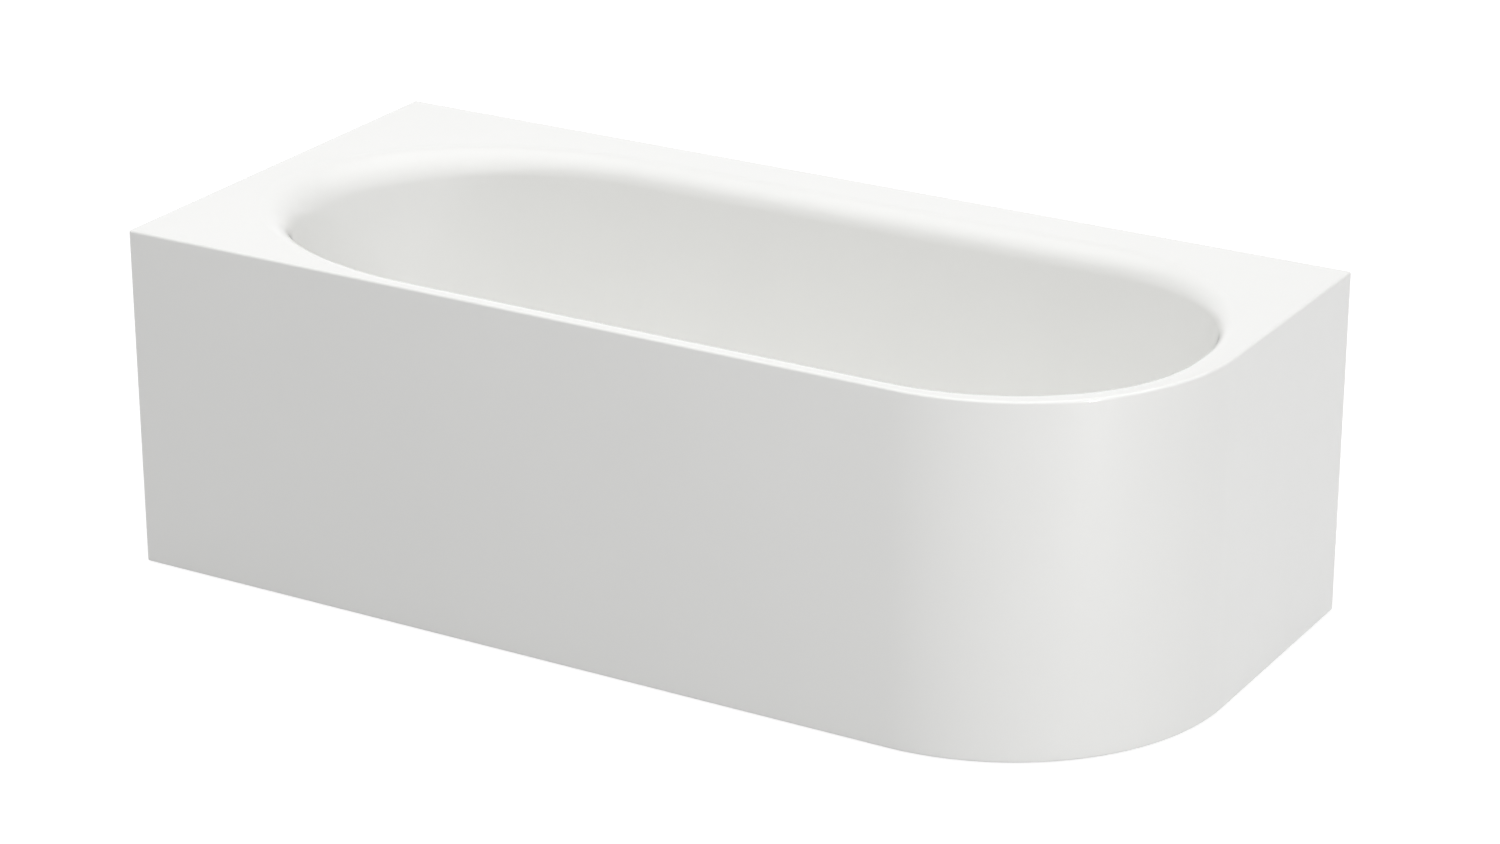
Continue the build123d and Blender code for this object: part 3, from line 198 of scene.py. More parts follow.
def make_enamel(colours):
    # Glass fused to steel: sharp clear reflections from its skin over the softer sheen of its milky body
    tree, shader, place = new_material(ENAMEL)
    shader.inputs["Coat Weight"].default_value = 1.0
    shader.inputs["Coat Roughness"].default_value = 0.03
    mottled(tree, shader, place, (colours.enamel, colours.enamel_shade), 260, 30, (0.34, 0.4), 0.002, 0.0)


def make_zinc(colours):
    # Electroplated zinc: a soft grey metal with fine matt grains
    tree, shader, place = new_material(ZINC)
    shader.inputs["Metallic"].default_value = 1.0
    mottled(tree, shader, place, (colours.zinc, colours.zinc_shade), 35, 3, (0.28, 0.5), 0.02)


def make_chrome(colours):
    # Polished and plated brass: a mirror with the faintest haze left by polishing
    tree, shader, place = new_material(CHROME)
    shader.inputs["Metallic"].default_value = 1.0
    mottled(tree, shader, place, (colours.chrome, colours.chrome_shade), 20, 9, (0.04, 0.09), 0.001)


def make_white_plastic(colours):
    # Moulded polypropylene: a waxy white with a low sheen and a faint mould grain
    tree, shader, place = new_material(WHITE_PLASTIC)
    shader.inputs["Subsurface Weight"].default_value = 0.05
    shader.inputs["Subsurface Scale"].default_value = 2 * MM
    mottled(tree, shader, place, (colours.plastic, colours.plastic_shade), 40, 1.2, (0.36, 0.5), 0.02)


def make_dark_plastic(colours):
    # Glass-filled polyamide: black and matt, with a fine spark-eroded grain
    tree, shader, place = new_material(DARK_PLASTIC)
    mottled(tree, shader, place, (colours.polyamide, colours.rubber_bloom), 30, 0.9, (0.45, 0.62), 0.05)


def make_rubber(colours):
    # Pressed synthetic rubber: dull black with a grey bloom in patches
    tree, shader, place = new_material(RUBBER)
    mottled(tree, shader, place, (colours.rubber, colours.rubber_bloom), 12, 1.5, (0.62, 0.82), 0.04)


def make_bitumen(colours):
    # Bitumen felt: embossed cells 6 mm apart with talc on their ridges
    tree, shader, place = new_material(BITUMEN)
    settings = {"Scale": 1 / (6 * MM), "feature": "DISTANCE_TO_EDGE"}
    cells = node(tree, "ShaderNodeTexVoronoi", settings, {"Vector": place})
    span = {"From Max": 0.25, "To Min": 1.0, "To Max": 0.0}
    ridge = node(tree, "ShaderNodeMapRange", span, {"Value": cells.outputs["Distance"]}).outputs[0]
    talc = {"data_type": "RGBA", 6: colours.bitumen, 7: colours.bitumen_dust}
    tint = node(tree, "ShaderNodeMix", talc, {0: ridge})
    gloss = node(tree, "ShaderNodeMapRange", {"To Min": 0.7, "To Max": 0.9}, {"Value": ridge})
    relief = node(tree, "ShaderNodeBump", {"Distance": 0.5 * MM}, {"Height": ridge})
    tree.links.new(tint.outputs[2], shader.inputs["Base Color"])
    tree.links.new(gloss.outputs[0], shader.inputs["Roughness"])
    tree.links.new(relief.outputs[0], shader.inputs["Normal"])


def section_loop(bm, places):
    """Closed loop of edges through the given places, started from a circle."""
    circle = bmesh.ops.create_circle(bm, segments=len(places), radius=1.0)["verts"]
    ordered = [circle[0]]
    while len(ordered) < len(circle):
        last = ordered[-1]
        beside = [edge.other_vert(last) for edge in last.link_edges]
        ordered.append(next(vert for vert in beside if vert not in ordered))
    for vert, place in zip(ordered, places):
        vert.co = place
    return ordered


def section_chain(bm, places):
    """Open chain of edges through the given places."""
    verts = [bm.verts.new(place) for place in places]
    for first, second in zip(verts, verts[1:]):
        bm.edges.new((first, second))
    return verts


def grow(bm, verts, places):
    """Extrude a loop or chain of edges, and put the new vertices in their places."""
    old = set(verts)
    edges = {edge for vert in verts for edge in vert.link_edges if edge.other_vert(vert) in old}
    made = bmesh.ops.extrude_edge_only(bm, edges=list(edges))["geom"]
    fresh = {item for item in made if isinstance(item, bmesh.types.BMVert)}
    following = []
    for vert, place in zip(verts, places):
        partner = next(edge.other_vert(vert) for edge in vert.link_edges if edge.other_vert(vert) in fresh)
        following.append(partner)
    for partner, place in zip(following, places):
        partner.co = place
    return following


def loop_edges(verts, closed=True):
    """Edges between neighbours of a loop or chain of vertices."""
    following = verts[1:] + verts[:1] if closed else verts[1:]
    return [next(e for e in a.link_edges if e.other_vert(a) == b) for a, b in zip(verts, following)]


def finish_piece(bm, name, material, body, nodes=(), outward=None, crease=40, wall=0.0):
    """Turn a bmesh into a piece that rides a body and stands for its CAD nodes."""
    bmesh.ops.remove_doubles(bm, verts=bm.verts, dist=0.005 * MM)
    bmesh.ops.recalc_face_normals(bm, faces=bm.faces)
    if outward is not None:
        farthest = max(bm.faces, key=lambda face: face.calc_center_median().dot(outward))
        if farthest.normal.dot(outward) < 0:
            bmesh.ops.reverse_faces(bm, faces=bm.faces)
    mesh = bpy.data.meshes.new(name)
    bm.to_mesh(mesh)
    bm.free()
    piece = bpy.data.objects.new(name, mesh)
    bpy.context.scene.collection.objects.link(piece)
    if wall:
        solidify = piece.modifiers.new("wall", "SOLIDIFY")
        solidify.thickness = wall
        solidify.offset = -1
        solidify.use_even_offset = True
        solidify.use_quality_normals = True
        made = bpy.data.meshes.new_from_object(piece.evaluated_get(bpy.context.evaluated_depsgraph_get()))
        piece.modifiers.clear()
        piece.data = made
        bpy.data.meshes.remove(mesh)
        made.name = name
        mesh = made
    mesh.shade_smooth()
    mesh.set_sharp_from_angle(angle=radians(crease))
    mesh.materials.clear()
    mesh.materials.append(bpy.data.materials[material])
    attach(piece, body)
    if nodes:
        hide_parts(*nodes)
    return piece


def bath_sides():
    """Left, right, front, back and top of the bath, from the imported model."""
    low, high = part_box("bath_shell")
    return low.x, high.x, low.y, high.y, high.z


def outer_plan(sizes, inset, start=None, end=None):
    """Plan of the bath's outer edge as points with outward normals, counter-clockwise from the front left.

    With start and end, only the free sides are followed, from start along the left wall to end along the back.
    """
    left, right, front, back, top = bath_sides()
    low_x, high_x = left + inset, right - inset
    low_y, high_y = front + inset, back - inset
    small = max(sizes.edge - inset, 0.4 * MM)
    big = sizes.corner - inset
    corners = (
        (low_x + small, low_y + small, small, 180, 6),
        (high_x - big, low_y + big, big, 270, 60),
        (high_x - small, high_y - small, small, 0, 6),
        (low_x + small, high_y - small, small, 90, 6),
    )
    plan = []
    for number, (x, y, radius, begin, steps) in enumerate(corners):
        for step in range(steps + 1):
            turn = radians(begin + 90 * step / steps)
            outward = Vector((cos(turn), sin(turn), 0))
            plan.append((Vector((x, y, 0)) + radius * outward, outward))
    flange_y = front + sizes.panel_return + 2 * MM
    flange_x = right - sizes.panel_return - 2 * MM
    if start is None:
        plan.insert(7 + 61 + 7, (Vector((flange_x, high_y, 0)), Vector((0, 1, 0))))
        plan.append((Vector((low_x, flange_y, 0)), Vector((-1, 0, 0))))
        return plan
    open_plan = [(Vector((low_x, start, 0)), Vector((-1, 0, 0)))]
    open_plan += plan[: 7 + 61 + 7]
    open_plan.append((Vector((end, high_y, 0)), Vector((0, 1, 0))))
    return open_plan


def bowl_plan(sizes, drop):
    """Plan of the bowl at a depth below the deck: points with outward normals, counter-clockwise."""
    left, right, front, back, top = bath_sides()
    side = drop * tan(sizes.side_slope)
    width = back - front - sizes.rim_front - sizes.rim_back
    front_y = front + sizes.rim_front + side
    back_y = back - sizes.rim_back - side
    head_x = left + sizes.rim_head + drop * tan(sizes.head_slope)
    foot_x = right - sizes.rim_foot - drop * tan(sizes.foot_slope)
    front_r = sizes.front_share * width - side
    end_r = sizes.end_share * width - side
    back_r = sizes.back_share * width - side
    half = radians(45)
    front_x = foot_x - end_r * (1 - sin(half)) - front_r * sin(half)
    end_y = front_y + front_r * (1 - cos(half)) + end_r * cos(half)
    centre_x = left + sizes.rim_head + sizes.head_curve
    centre_y = (front_y + back_y) / 2
    plan = []

    def straight(start, stop, outward, steps):
        for step in range(steps):
            point = Vector(start).lerp(Vector(stop), step / steps)
            plan.append((point.to_3d(), Vector(outward)))

    def arc(x, y, radius_x, radius_y, begin, sweep, steps):
        for step in range(steps):
            turn = radians(begin + sweep * step / steps)
            point = Vector((x + radius_x * cos(turn), y + radius_y * sin(turn), 0))
            outward = Vector((cos(turn) / radius_x, sin(turn) / radius_y, 0)).normalized()
            plan.append((point, outward))

    straight((centre_x, front_y), (front_x, front_y), (0, -1, 0), 24)
    arc(front_x, front_y + front_r, front_r, front_r, -90, 45, 16)
    arc(foot_x - end_r, end_y, end_r, end_r, -45, 45, 16)
    straight((foot_x, end_y), (foot_x, back_y - back_r), (1, 0, 0), 4)
    arc(foot_x - back_r, back_y - back_r, back_r, back_r, 0, 90, 32)
    straight((foot_x - back_r, back_y), (centre_x, back_y), (0, 1, 0), 24)
    arc(centre_x, centre_y, centre_x - head_x, (back_y - front_y) / 2, 90, 180, 72)
    return plan


def bowl_rows(sizes):
    """Rows of places from the deck over the lip, down the wall and round the floor's edge."""
    left, right, front, back, top = bath_sides()
    depth = top - sizes.floor_height
    upper = bowl_plan(sizes, 0)
    lower = bowl_plan(sizes, depth)
    wall_shares = (0.08, 0.16, 0.24, 0.32, 0.4, 0.55, 0.7, 0.85, 1.0)
    columns = []
    for (rim, outward), (foot, foot_outward) in zip(upper, lower):
        rim = rim + top * UP
        foot = foot + sizes.floor_height * UP
        inward = UP.cross(outward).cross(foot - rim).normalized()
        foot_inward = UP.cross(foot_outward).cross(foot - rim).normalized()
        slope = asin(inward.z)
        foot_slope = asin(foot_inward.z)
        lip = sizes.lip + (sizes.head_lip - sizes.lip) * max(-outward.x, 0) ** 2
        lip += (sizes.back_lip - sizes.lip) * max(outward.y, 0) ** 2
        centre = rim + outward * lip * (1 / cos(slope) - tan(slope)) - lip * UP
        floor_in = foot_outward * sizes.floor_round * (tan(foot_slope) - 1 / cos(foot_slope))
        floor_centre = foot + floor_in + sizes.floor_round * UP
        column = [centre + lip * UP + outward * 4 * MM]
        for step in range(sizes.lip_steps + 1):
            turn = (pi / 2 - slope) * step / sizes.lip_steps
            column.append(centre + lip * (UP * cos(turn) - outward * sin(turn)))
        wall_top = column[-1]
        wall_foot = floor_centre - sizes.floor_round * foot_inward
        for share in wall_shares:
            column.append(wall_top.lerp(wall_foot, share))
        for step in range(1, sizes.lip_steps + 1):
            turn = foot_slope + (pi / 2 - foot_slope) * step / sizes.lip_steps
            column.append(floor_centre + sizes.floor_round * (foot_outward * cos(turn) - UP * sin(turn)))
        column.append(column[-1] - foot_outward * 4 * MM)
        columns.append(column)
    return [list(row) for row in zip(*columns)]


def overflow_matrix(sizes):
    """Frame on the overflow: X along the bath's width, Z into the bath, origin on the bowl's wall."""
    left, right, front, back, top = bath_sides()
    foot_x = right - sizes.rim_foot - sizes.overflow_drop * tan(sizes.foot_slope)
    centre_y = (front + sizes.rim_front + back - sizes.rim_back) / 2
    into_bath = Vector((-cos(sizes.foot_slope), 0, sin(sizes.foot_slope)))
    across = Vector((0, 1, 0))
    turn = Matrix((across, into_bath.cross(across), into_bath)).transposed()
    return Matrix.Translation((foot_x, centre_y, top - sizes.overflow_drop)) @ turn.to_4x4()


def waste_matrix():
    """Frame on the waste's axis: Z up, origin on the room's floor."""
    low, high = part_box("waste_plug")
    return Matrix.Translation(((low.x + high.x) / 2, (low.y + high.y) / 2, 0))


def circle_places(matrix, radius, heights, steps):
    """Places round a frame's Z axis; heights is one height or one for each place."""
    if not isinstance(heights, list):
        heights = [heights] * steps
    places = []
    for step, height in enumerate(heights):
        turn = 2 * pi * step / steps
        places.append(matrix @ Vector((radius * cos(turn), radius * sin(turn), height)))
    return places


def turned(bm, profile, matrix, steps=64, closed=True):
    """Spin a profile of (radius, height) points in millimetres about a frame's Z axis."""
    chain = section_chain(bm, [Vector((radius * MM, 0, height * MM)) for radius, height in profile])
    if closed:
        bm.edges.new((chain[-1], chain[0]))
    edges = list({edge for vert in chain for edge in vert.link_edges})
    before = set(bm.verts) - set(chain)
    bmesh.ops.spin(
        bm, geom=chain + edges, cent=(0, 0, 0), axis=(0, 0, 1), angle=2 * pi, steps=steps, use_merge=True
    )
    fresh = [vert for vert in bm.verts if vert not in before]
    bmesh.ops.remove_doubles(bm, verts=fresh, dist=0.001 * MM)
    fresh = [vert for vert in bm.verts if vert not in before]
    bmesh.ops.transform(bm, matrix=matrix, verts=fresh)


def block(bm, size, centre, matrix):
    """Box of the given size in millimetres, centred in a frame."""
    made = bmesh.ops.create_cube(bm, size=1.0)["verts"]
    bmesh.ops.scale(bm, vec=Vector(size) * MM, verts=made)
    bmesh.ops.translate(bm, vec=Vector(centre) * MM, verts=made)
    bmesh.ops.transform(bm, matrix=matrix, verts=made)
    return made


def soften(bm, radius, crease=30, segments=3):
    """Round every edge sharper than the crease angle; the radius is in millimetres."""
    bmesh.ops.recalc_face_normals(bm, faces=bm.faces)
    sharp = [edge for edge in bm.edges if len(edge.link_faces) == 2 and edge.calc_face_angle(0) > radians(crease)]
    bmesh.ops.bevel(
        bm,
        geom=sharp,
        offset=radius * MM,
        offset_type="OFFSET",
        segments=segments,
        profile=0.5,
        affect="EDGES",
        material=-1,
        clamp_overlap=True,
    )


def slot_of_nodes():
    """Name of each CAD node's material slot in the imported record."""
    return {part["node"]: part["material_slot"] for part in frame["record"]["subparts"]}


def rounded_copies(nodes, radius, crease, body="base"):
    """Pieces that stand for CAD nodes: merged copies with their sharp edges rounded; radius in millimetres."""
    slots = slot_of_nodes()
    for name in nodes:
        bm = bmesh.new()
        bm.from_mesh(frame["nodes"][name].data)
        bmesh.ops.remove_doubles(bm, verts=bm.verts, dist=0.005 * MM)
        bmesh.ops.dissolve_limit(bm, angle_limit=radians(0.3), verts=bm.verts, edges=bm.edges)
        soften(bm, radius, crease, 2)
        finish_piece(bm, "rounded_" + name, FINISHES[slots[name]], body, [name], None, crease)


def grip_bar(bm, matrix, base):
    """Grip bar across the knob, rounded at both ends."""
    made = block(bm, (44, 10, 7), (0, 0, base + 3.5), matrix)
    into_bath = matrix.to_3x3() @ UP
    faces = {face for vert in made for face in vert.link_faces}
    edges = {edge for face in faces for edge in face.edges}
    upright = [edge for edge in edges if abs((edge.verts[0].co - edge.verts[1].co).normalized().dot(into_bath)) > 0.9]
    bmesh.ops.bevel(
        bm, geom=upright, offset=4.9 * MM, offset_type="OFFSET", segments=8, profile=0.5, affect="EDGES", material=-1
    )


class BathOperator(bpy.types.Operator):
    bl_options = {"REGISTER", "UNDO"}


class BATH_OT_materials(BathOperator):
    """Make the finishes and give them to the CAD pieces"""

    bl_idname = "bath.materials"
    bl_label = "Finishes"

    def execute(self, context):
        colours = context.scene.bath_colours
        for make in (
            make_enamel,
            make_zinc,
            make_chrome,
            make_white_plastic,
            make_dark_plastic,
            make_rubber,
            make_bitumen,
        ):
            make(colours)
        slots = slot_of_nodes()
        for name, piece in frame["nodes"].items():
            finish = bpy.data.materials[FINISHES[slots[name]]]
            piece.data.materials.clear()
            piece.data.materials.append(finish)
        return {"FINISHED"}


class BATH_OT_shell(BathOperator):
    """Model the enamelled shell: deck, rim, bowl and the seats of the waste and the overflow"""

    bl_idname = "bath.shell"
    bl_label = "Enamelled shell"

    def execute(self, context):
        sizes = context.scene.bath_sizes
        left, right, front, back, top = bath_sides()
        bm = bmesh.new()
        rows = bowl_rows(sizes)
        loops = [section_loop(bm, rows[0])]
        for row in rows[1:]:
            loops.append(grow(bm, loops[-1], row))

        # Deck: flat between the lip and the rounded outer edge
        first_outer = [place + top * UP for place, outward in outer_plan(sizes, 8 * MM)]
        outer = section_loop(bm, first_outer)
        fill = loop_edges(loops[0]) + loop_edges(outer)
        for step in range(7):
            turn = pi / 2 * step / 6
            inset = sizes.edge * (1 - sin(turn))
            height = top - sizes.edge * (1 - cos(turn))
            outer = grow(bm, outer, [place + height * UP for place, outward in outer_plan(sizes, inset)])
        skirt = [place + (top - sizes.skirt) * UP for place, outward in outer_plan(sizes, 0)]
        outer = grow(bm, outer, skirt)
        walls = outer[75:84]
        grow(bm, walls, [vert.co - (sizes.flange - sizes.skirt) * UP for vert in walls])
        bmesh.ops.triangle_fill(bm, use_beauty=True, use_dissolve=False, edges=fill, normal=UP)

        self.overflow_seat(bm, sizes, loops)
        self.waste_seat(bm, sizes, loops[-1])
        finish_piece(bm, "enamelled_shell", ENAMEL, "base", ["bath_shell"], UP, 50, sizes.sheet)
        return {"FINISHED"}

    def overflow_seat(self, bm, sizes, loops):
        """Pressed round seat with a hole, in a window cut in the wall at the foot end."""
        matrix = overflow_matrix(sizes)
        steps = 64
        radius = sizes.overflow_recess
        rim = circle_places(matrix, radius + 3 * MM, 0.0, steps)
        tree = BVHTree.FromBMesh(bm)
        into_bath = matrix.to_3x3() @ UP
        heights = []
        for place in rim:
            hit = tree.ray_cast(place + into_bath * 40 * MM, -into_bath)[0]
            heights.append((hit - place).dot(into_bath))
        first_row = sizes.lip_steps + 2
        window = {vert for row in loops[first_row : first_row + 5] for vert in row[54:64]}
        faces = [face for face in bm.faces if all(vert in window for vert in face.verts)]
        bmesh.ops.delete(bm, geom=faces, context="FACES")
        edges = [edge for edge in bm.edges if edge.is_boundary and all(vert in window for vert in edge.verts)]
        ring = section_loop(bm, circle_places(matrix, radius + 3 * MM, heights, steps))
        bmesh.ops.bridge_loops(bm, edges=edges + loop_edges(ring))
        bottom = -sizes.overflow_depth
        for radius_change, share in ((0.8, 0.0), (0.2, 0.15), (0, 0.4), (0, 0.8), (-0.4, 0.95), (-1.2, 1.0)):
            level = [height * (1 - share) + bottom * share for height in heights]
            ring = grow(bm, ring, circle_places(matrix, radius + radius_change * MM, level, steps))
        grow(bm, ring, circle_places(matrix, sizes.overflow_hole, bottom, steps))

    def waste_seat(self, bm, sizes, floor_loop):
        """Flat floor with the pressed round seat and the hole of the waste."""
        matrix = waste_matrix() @ Matrix.Translation((0, 0, sizes.floor_height))
        steps = 64
        radius = sizes.recess
        depth = -sizes.recess_depth
        ring = section_loop(bm, circle_places(matrix, radius + 6 * MM, 0.0, steps))
        fill = loop_edges(floor_loop) + loop_edges(ring)
        bmesh.ops.triangle_fill(bm, use_beauty=True, use_dissolve=False, edges=fill, normal=UP)
        for radius_change, share in (
            (1.6, 0.0),
            (0.9, 0.05),
            (0.3, 0.16),
            (0.0, 0.35),
            (0.0, 0.8),
            (-0.5, 0.95),
            (-1.4, 1.0),
        ):
            ring = grow(bm, ring, circle_places(matrix, radius + radius_change * MM, depth * share, steps))
        grow(bm, ring, circle_places(matrix, sizes.waste_hole, depth, steps))


class BATH_OT_panel(BathOperator):
    """Model the panel round the free sides, with its returns and foot flange"""

    bl_idname = "bath.panel"
    bl_label = "Panel"

    def execute(self, context):
        sizes = context.scene.bath_sizes
        left, right, front, back, top = bath_sides()
        ends = (front + sizes.panel_return, right - sizes.panel_return)
        bend = 3 * MM
        foot = sizes.panel_gap
        bm = bmesh.new()
        levels = [(0.0, top - sizes.skirt), (0.0, top - sizes.skirt - 4 * MM), (0.0, foot + bend + 4 * MM)]
        for step in range(6):
            turn = pi / 2 * step / 5
            levels.append((bend * (1 - cos(turn)), foot + bend * (1 - sin(turn))))
        levels.append((sizes.panel_foot, foot))
        chain = None
        for inset, height in levels:
            places = [place + height * UP for place, outward in outer_plan(sizes, inset, *ends)]
            chain = section_chain(bm, places) if chain is None else grow(bm, chain, places)
        out = Vector((0, -1, 0))
        finish_piece(bm, "enamelled_panel", ENAMEL, "base", ["apron_panel"], out, 50, sizes.sheet)
        return {"FINISHED"}


class BATH_OT_waste(BathOperator):
    """Turn the plug's domed cap and the strainer flange"""

    bl_idname = "bath.waste"
    bl_label = "Waste and plug"

    def execute(self, context):
        matrix = waste_matrix()
        under, cap, crown, stem = 155.3, 33.0, 5.0, 4.0
        dome = (cap**2 + crown**2) / (2 * crown)
        bm = bmesh.new()
        profile = [(0, under - 42), (stem - 1, under - 42), (stem, under - 41), (stem, under), (cap - 0.8, under)]
        profile += [(cap, under + 0.8), (cap, under + 1.4)]
        for step in range(15):
            radius = (cap - 0.5) * (1 - step / 14)
            profile.append((radius, under + 2 + crown - dome + (dome**2 - radius**2) ** 0.5))
        turned(bm, profile, matrix, 96, closed=False)
        finish_piece(bm, "plug_cap", CHROME, "plug", ["waste_plug"])

        bm = bmesh.new()
        top, bore, throat, rim = 153.0, 22.0, 25.0, 40.0
        profile = [(bore, top - 28), (throat, top - 28), (throat, top - 2.5), (rim, top - 2.5), (rim, top - 1.2)]
        profile += [(rim - 1.2, top), (bore + 5, top), (bore, top - 5)]
        turned(bm, profile, matrix, 96)
        soften(bm, 0.5, 25)
        turned(bm, [(4.3, top - 28), (7, top - 28), (7, top - 18), (4.3, top - 18)], matrix, 32)
        for number in range(3):
            turn = Matrix.Rotation(2 * pi * number / 3, 4, "Z")
            block(bm, (16.6, 3, 10), (15, 0, top - 23), matrix @ turn)
        finish_piece(bm, "strainer_flange", CHROME, "base", ["waste_flange"])
        return {"FINISHED"}


class BATH_OT_overflow(BathOperator):
    """Turn the overflow's flange and its rotary knob with a grip bar"""

    bl_idname = "bath.overflow"
    bl_label = "Overflow and knob"

    def execute(self, context):
        matrix = overflow_matrix(context.scene.bath_sizes)
        bm = bmesh.new()
        back, front, bore, rim, throat = -2.5, 1.5, 22.5, 36.0, 25.0
        profile = [(bore, front), (rim - 1.2, front), (rim, front - 1.2), (rim, back), (throat, back)]
        profile += [(throat, back - 15), (bore, back - 15)]
        turned(bm, profile, matrix, 96)
        soften(bm, 0.5, 25)
        turned(bm, [(5.05, front), (8.5, front), (8.5, front - 11.5), (5.05, front - 11.5)], matrix, 32)
        for number in range(3):
            turn = Matrix.Rotation(2 * pi * number / 3, 4, "Z")
            block(bm, (16.0, 3.5, 11.5), (15.6, 0, front - 5.75), matrix @ turn)
        finish_piece(bm, "overflow_rose", CHROME, "base", ["overflow_flange"])

        bm = bmesh.new()
        low, high, disc = 6.5, 18.5, 31.0
        profile = [(0, low - 24), (4.4, low - 24), (5, low - 23.4), (5, low), (disc - 0.6, low), (disc, low + 0.6)]
        profile += [(disc, high - 2), (disc - 0.3, high - 0.9), (disc - 1.1, high - 0.2), (disc - 2, high), (0, high)]
        turned(bm, profile, matrix, 96, closed=False)
        grip_bar(bm, matrix, high)
        finish_piece(bm, "overflow_dial", CHROME, "knob", ["overflow_knob"], crease=35)
        return {"FINISHED"}


class BATH_OT_drain(BathOperator):
    """Round the edges of the trap, the waste body, the overflow's body and its pipe, and their nuts"""

    bl_idname = "bath.drain"
    bl_label = "Trap and pipes"

    def execute(self, context):
        rounded_copies(["waste_body", "trap_body", "overflow_body", "overflow_pipe"], 0.6, 32)
        rounded_copies(["outlet_elbow"], 0.5, 32, "elbow")
        rounded_copies(["trap_nut", "outlet_nut", "pipe_nut_upper", "pipe_nut_lower"], 0.8, 22)
        return {"FINISHED"}


class BATH_OT_seals(BathOperator):
    """Round the rubber seals of the waste, the trap and the overflow"""

    bl_idname = "bath.seals"
    bl_label = "Seals"

    def execute(self, context):
        rounded_copies(["flange_seal", "body_seal", "trap_seal", "overflow_seal"], 0.5, 40)
        rounded_copies(["plug_seal"], 0.7, 40, "plug")
        return {"FINISHED"}


class BATH_OT_metalwork(BathOperator):
    """Round the edges of the rails, brackets, ties, screws, nuts and the earthing tab"""

    bl_idname = "bath.metalwork"
    bl_label = "Rails and brackets"

    def execute(self, context):
        rounded_copies(["head_rail", "foot_rail"], 0.7, 40)
        rounded_copies([f"rim_bracket_{number}" for number in range(1, 5)], 0.5, 40)
        rounded_copies(["panel_tie_head", "panel_tie_foot", "end_stay", "earth_lug", "apron_top_rail"], 0.5, 40)
        rounded_copies(["rail_nuts", "tie_bolts", "earth_screw"], 0.5, 40)
        return {"FINISHED"}


class BATH_OT_mats(BathOperator):
    """Round the edges of the deadening mats and of the strips on the rails"""

    bl_idname = "bath.mats"
    bl_label = "Mats and strips"

    def execute(self, context):
        rounded_copies(["floor_mat", "front_mat", "back_mat"], 1.0, 40)
        rounded_copies(["head_rail_pad", "foot_rail_pad"], 1.2, 40)
        return {"FINISHED"}


class BATH_OT_feet(BathOperator):
    """Turn the four levelling feet: threaded spindle, ribbed pad and grooved sole"""

    bl_idname = "bath.feet"
    bl_label = "Levelling feet"

    def execute(self, context):
        for number in range(1, 5):
            low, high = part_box(f"foot_{number}_sole")
            matrix = Matrix.Translation(((low.x + high.x) / 2, (low.y + high.y) / 2, 0))
            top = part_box(f"foot_{number}_spindle")[1].z / MM
            self.spindle(matrix, number, top)
            self.pad(matrix, number)
            self.sole(matrix, number)
        return {"FINISHED"}

    def spindle(self, matrix, number, top):
        """Spindle with the ridges of its thread and a hexagon collar."""
        crest, root, pitch, foot, collar_foot, collar_top = 5.0, 4.2, 1.5, 8.0, 17.0, 23.0
        profile = [(0, foot), (crest - 0.5, foot), (crest, foot + 0.5), (crest, collar_top + 1)]
        ridges = int((top - 2 - collar_top - 1) / pitch)
        for ridge in range(ridges):
            start = collar_top + 1 + ridge * pitch
            profile += [(root, start + 0.5), (root, start + 0.7), (crest, start + 1.2), (crest, start + 1.5)]
        profile += [(crest, top - 1.5), (crest - 1.5, top), (0, top)]
        bm = bmesh.new()
        turned(bm, profile, matrix, 24, closed=False)
        collar = bmesh.ops.create_cone(
            bm, cap_ends=True, segments=6, radius1=17 / 3**0.5 * MM, radius2=17 / 3**0.5 * MM, depth=6 * MM
        )["verts"]
        bmesh.ops.translate(bm, vec=(0, 0, (collar_foot + collar_top) / 2 * MM), verts=collar)
        bmesh.ops.transform(bm, matrix=matrix, verts=collar)
        edges = {edge for vert in collar for edge in vert.link_edges}
        bmesh.ops.bevel(
            bm, geom=list(edges), offset=0.6 * MM, offset_type="OFFSET", segments=2, profile=0.5, affect="EDGES", material=-1
        )
        body = f"foot_{number}"
        finish_piece(bm, f"threaded_spindle_{number}", ZINC, body, [f"{body}_spindle"], None, 25)

    def pad(self, matrix, number):
        """Domed pad with a hub and eight ribs."""
        profile = [(0, 3), (29.3, 3), (30, 3.7), (30, 7.2), (29.2, 8.1), (12.5, 15.2), (11.6, 16), (11.2, 17)]
        profile += [(5.1, 17), (5.1, 8), (0, 8)]
        bm = bmesh.new()
        turned(bm, profile, matrix, 64, closed=False)
        for rib in range(8):
            turn = Matrix.Rotation(2 * pi * rib / 8, 4, "Z")
            made = block(bm, (16, 2.4, 6), (18.5, 0, 9.6), matrix @ turn)
            outer = sorted(made, key=lambda vert: (matrix.inverted() @ vert.co).xy.length)[4:]
            for vert in outer:
                if vert.co.z > 10 * MM:
                    vert.co.z -= 4.2 * MM
        finish_piece(bm, f"ribbed_pad_{number}", DARK_PLASTIC, f"foot_{number}", [f"foot_{number}_pad"])

    def sole(self, matrix, number):
        """Rubber disc with three grooves in its underside."""
        profile = [(0, 0)]
        for groove in (8, 15, 22):
            profile += [(groove - 1, 0), (groove - 0.6, 0.8), (groove + 0.6, 0.8), (groove + 1, 0)]
        profile += [(27.2, 0), (27.8, 0.3), (28, 0.9), (28, 2.4), (27.8, 2.8), (27.3, 3), (0, 3)]
        bm = bmesh.new()
        turned(bm, profile, matrix, 64, closed=False)
        finish_piece(bm, f"grooved_sole_{number}", RUBBER, f"foot_{number}", [f"foot_{number}_sole"])


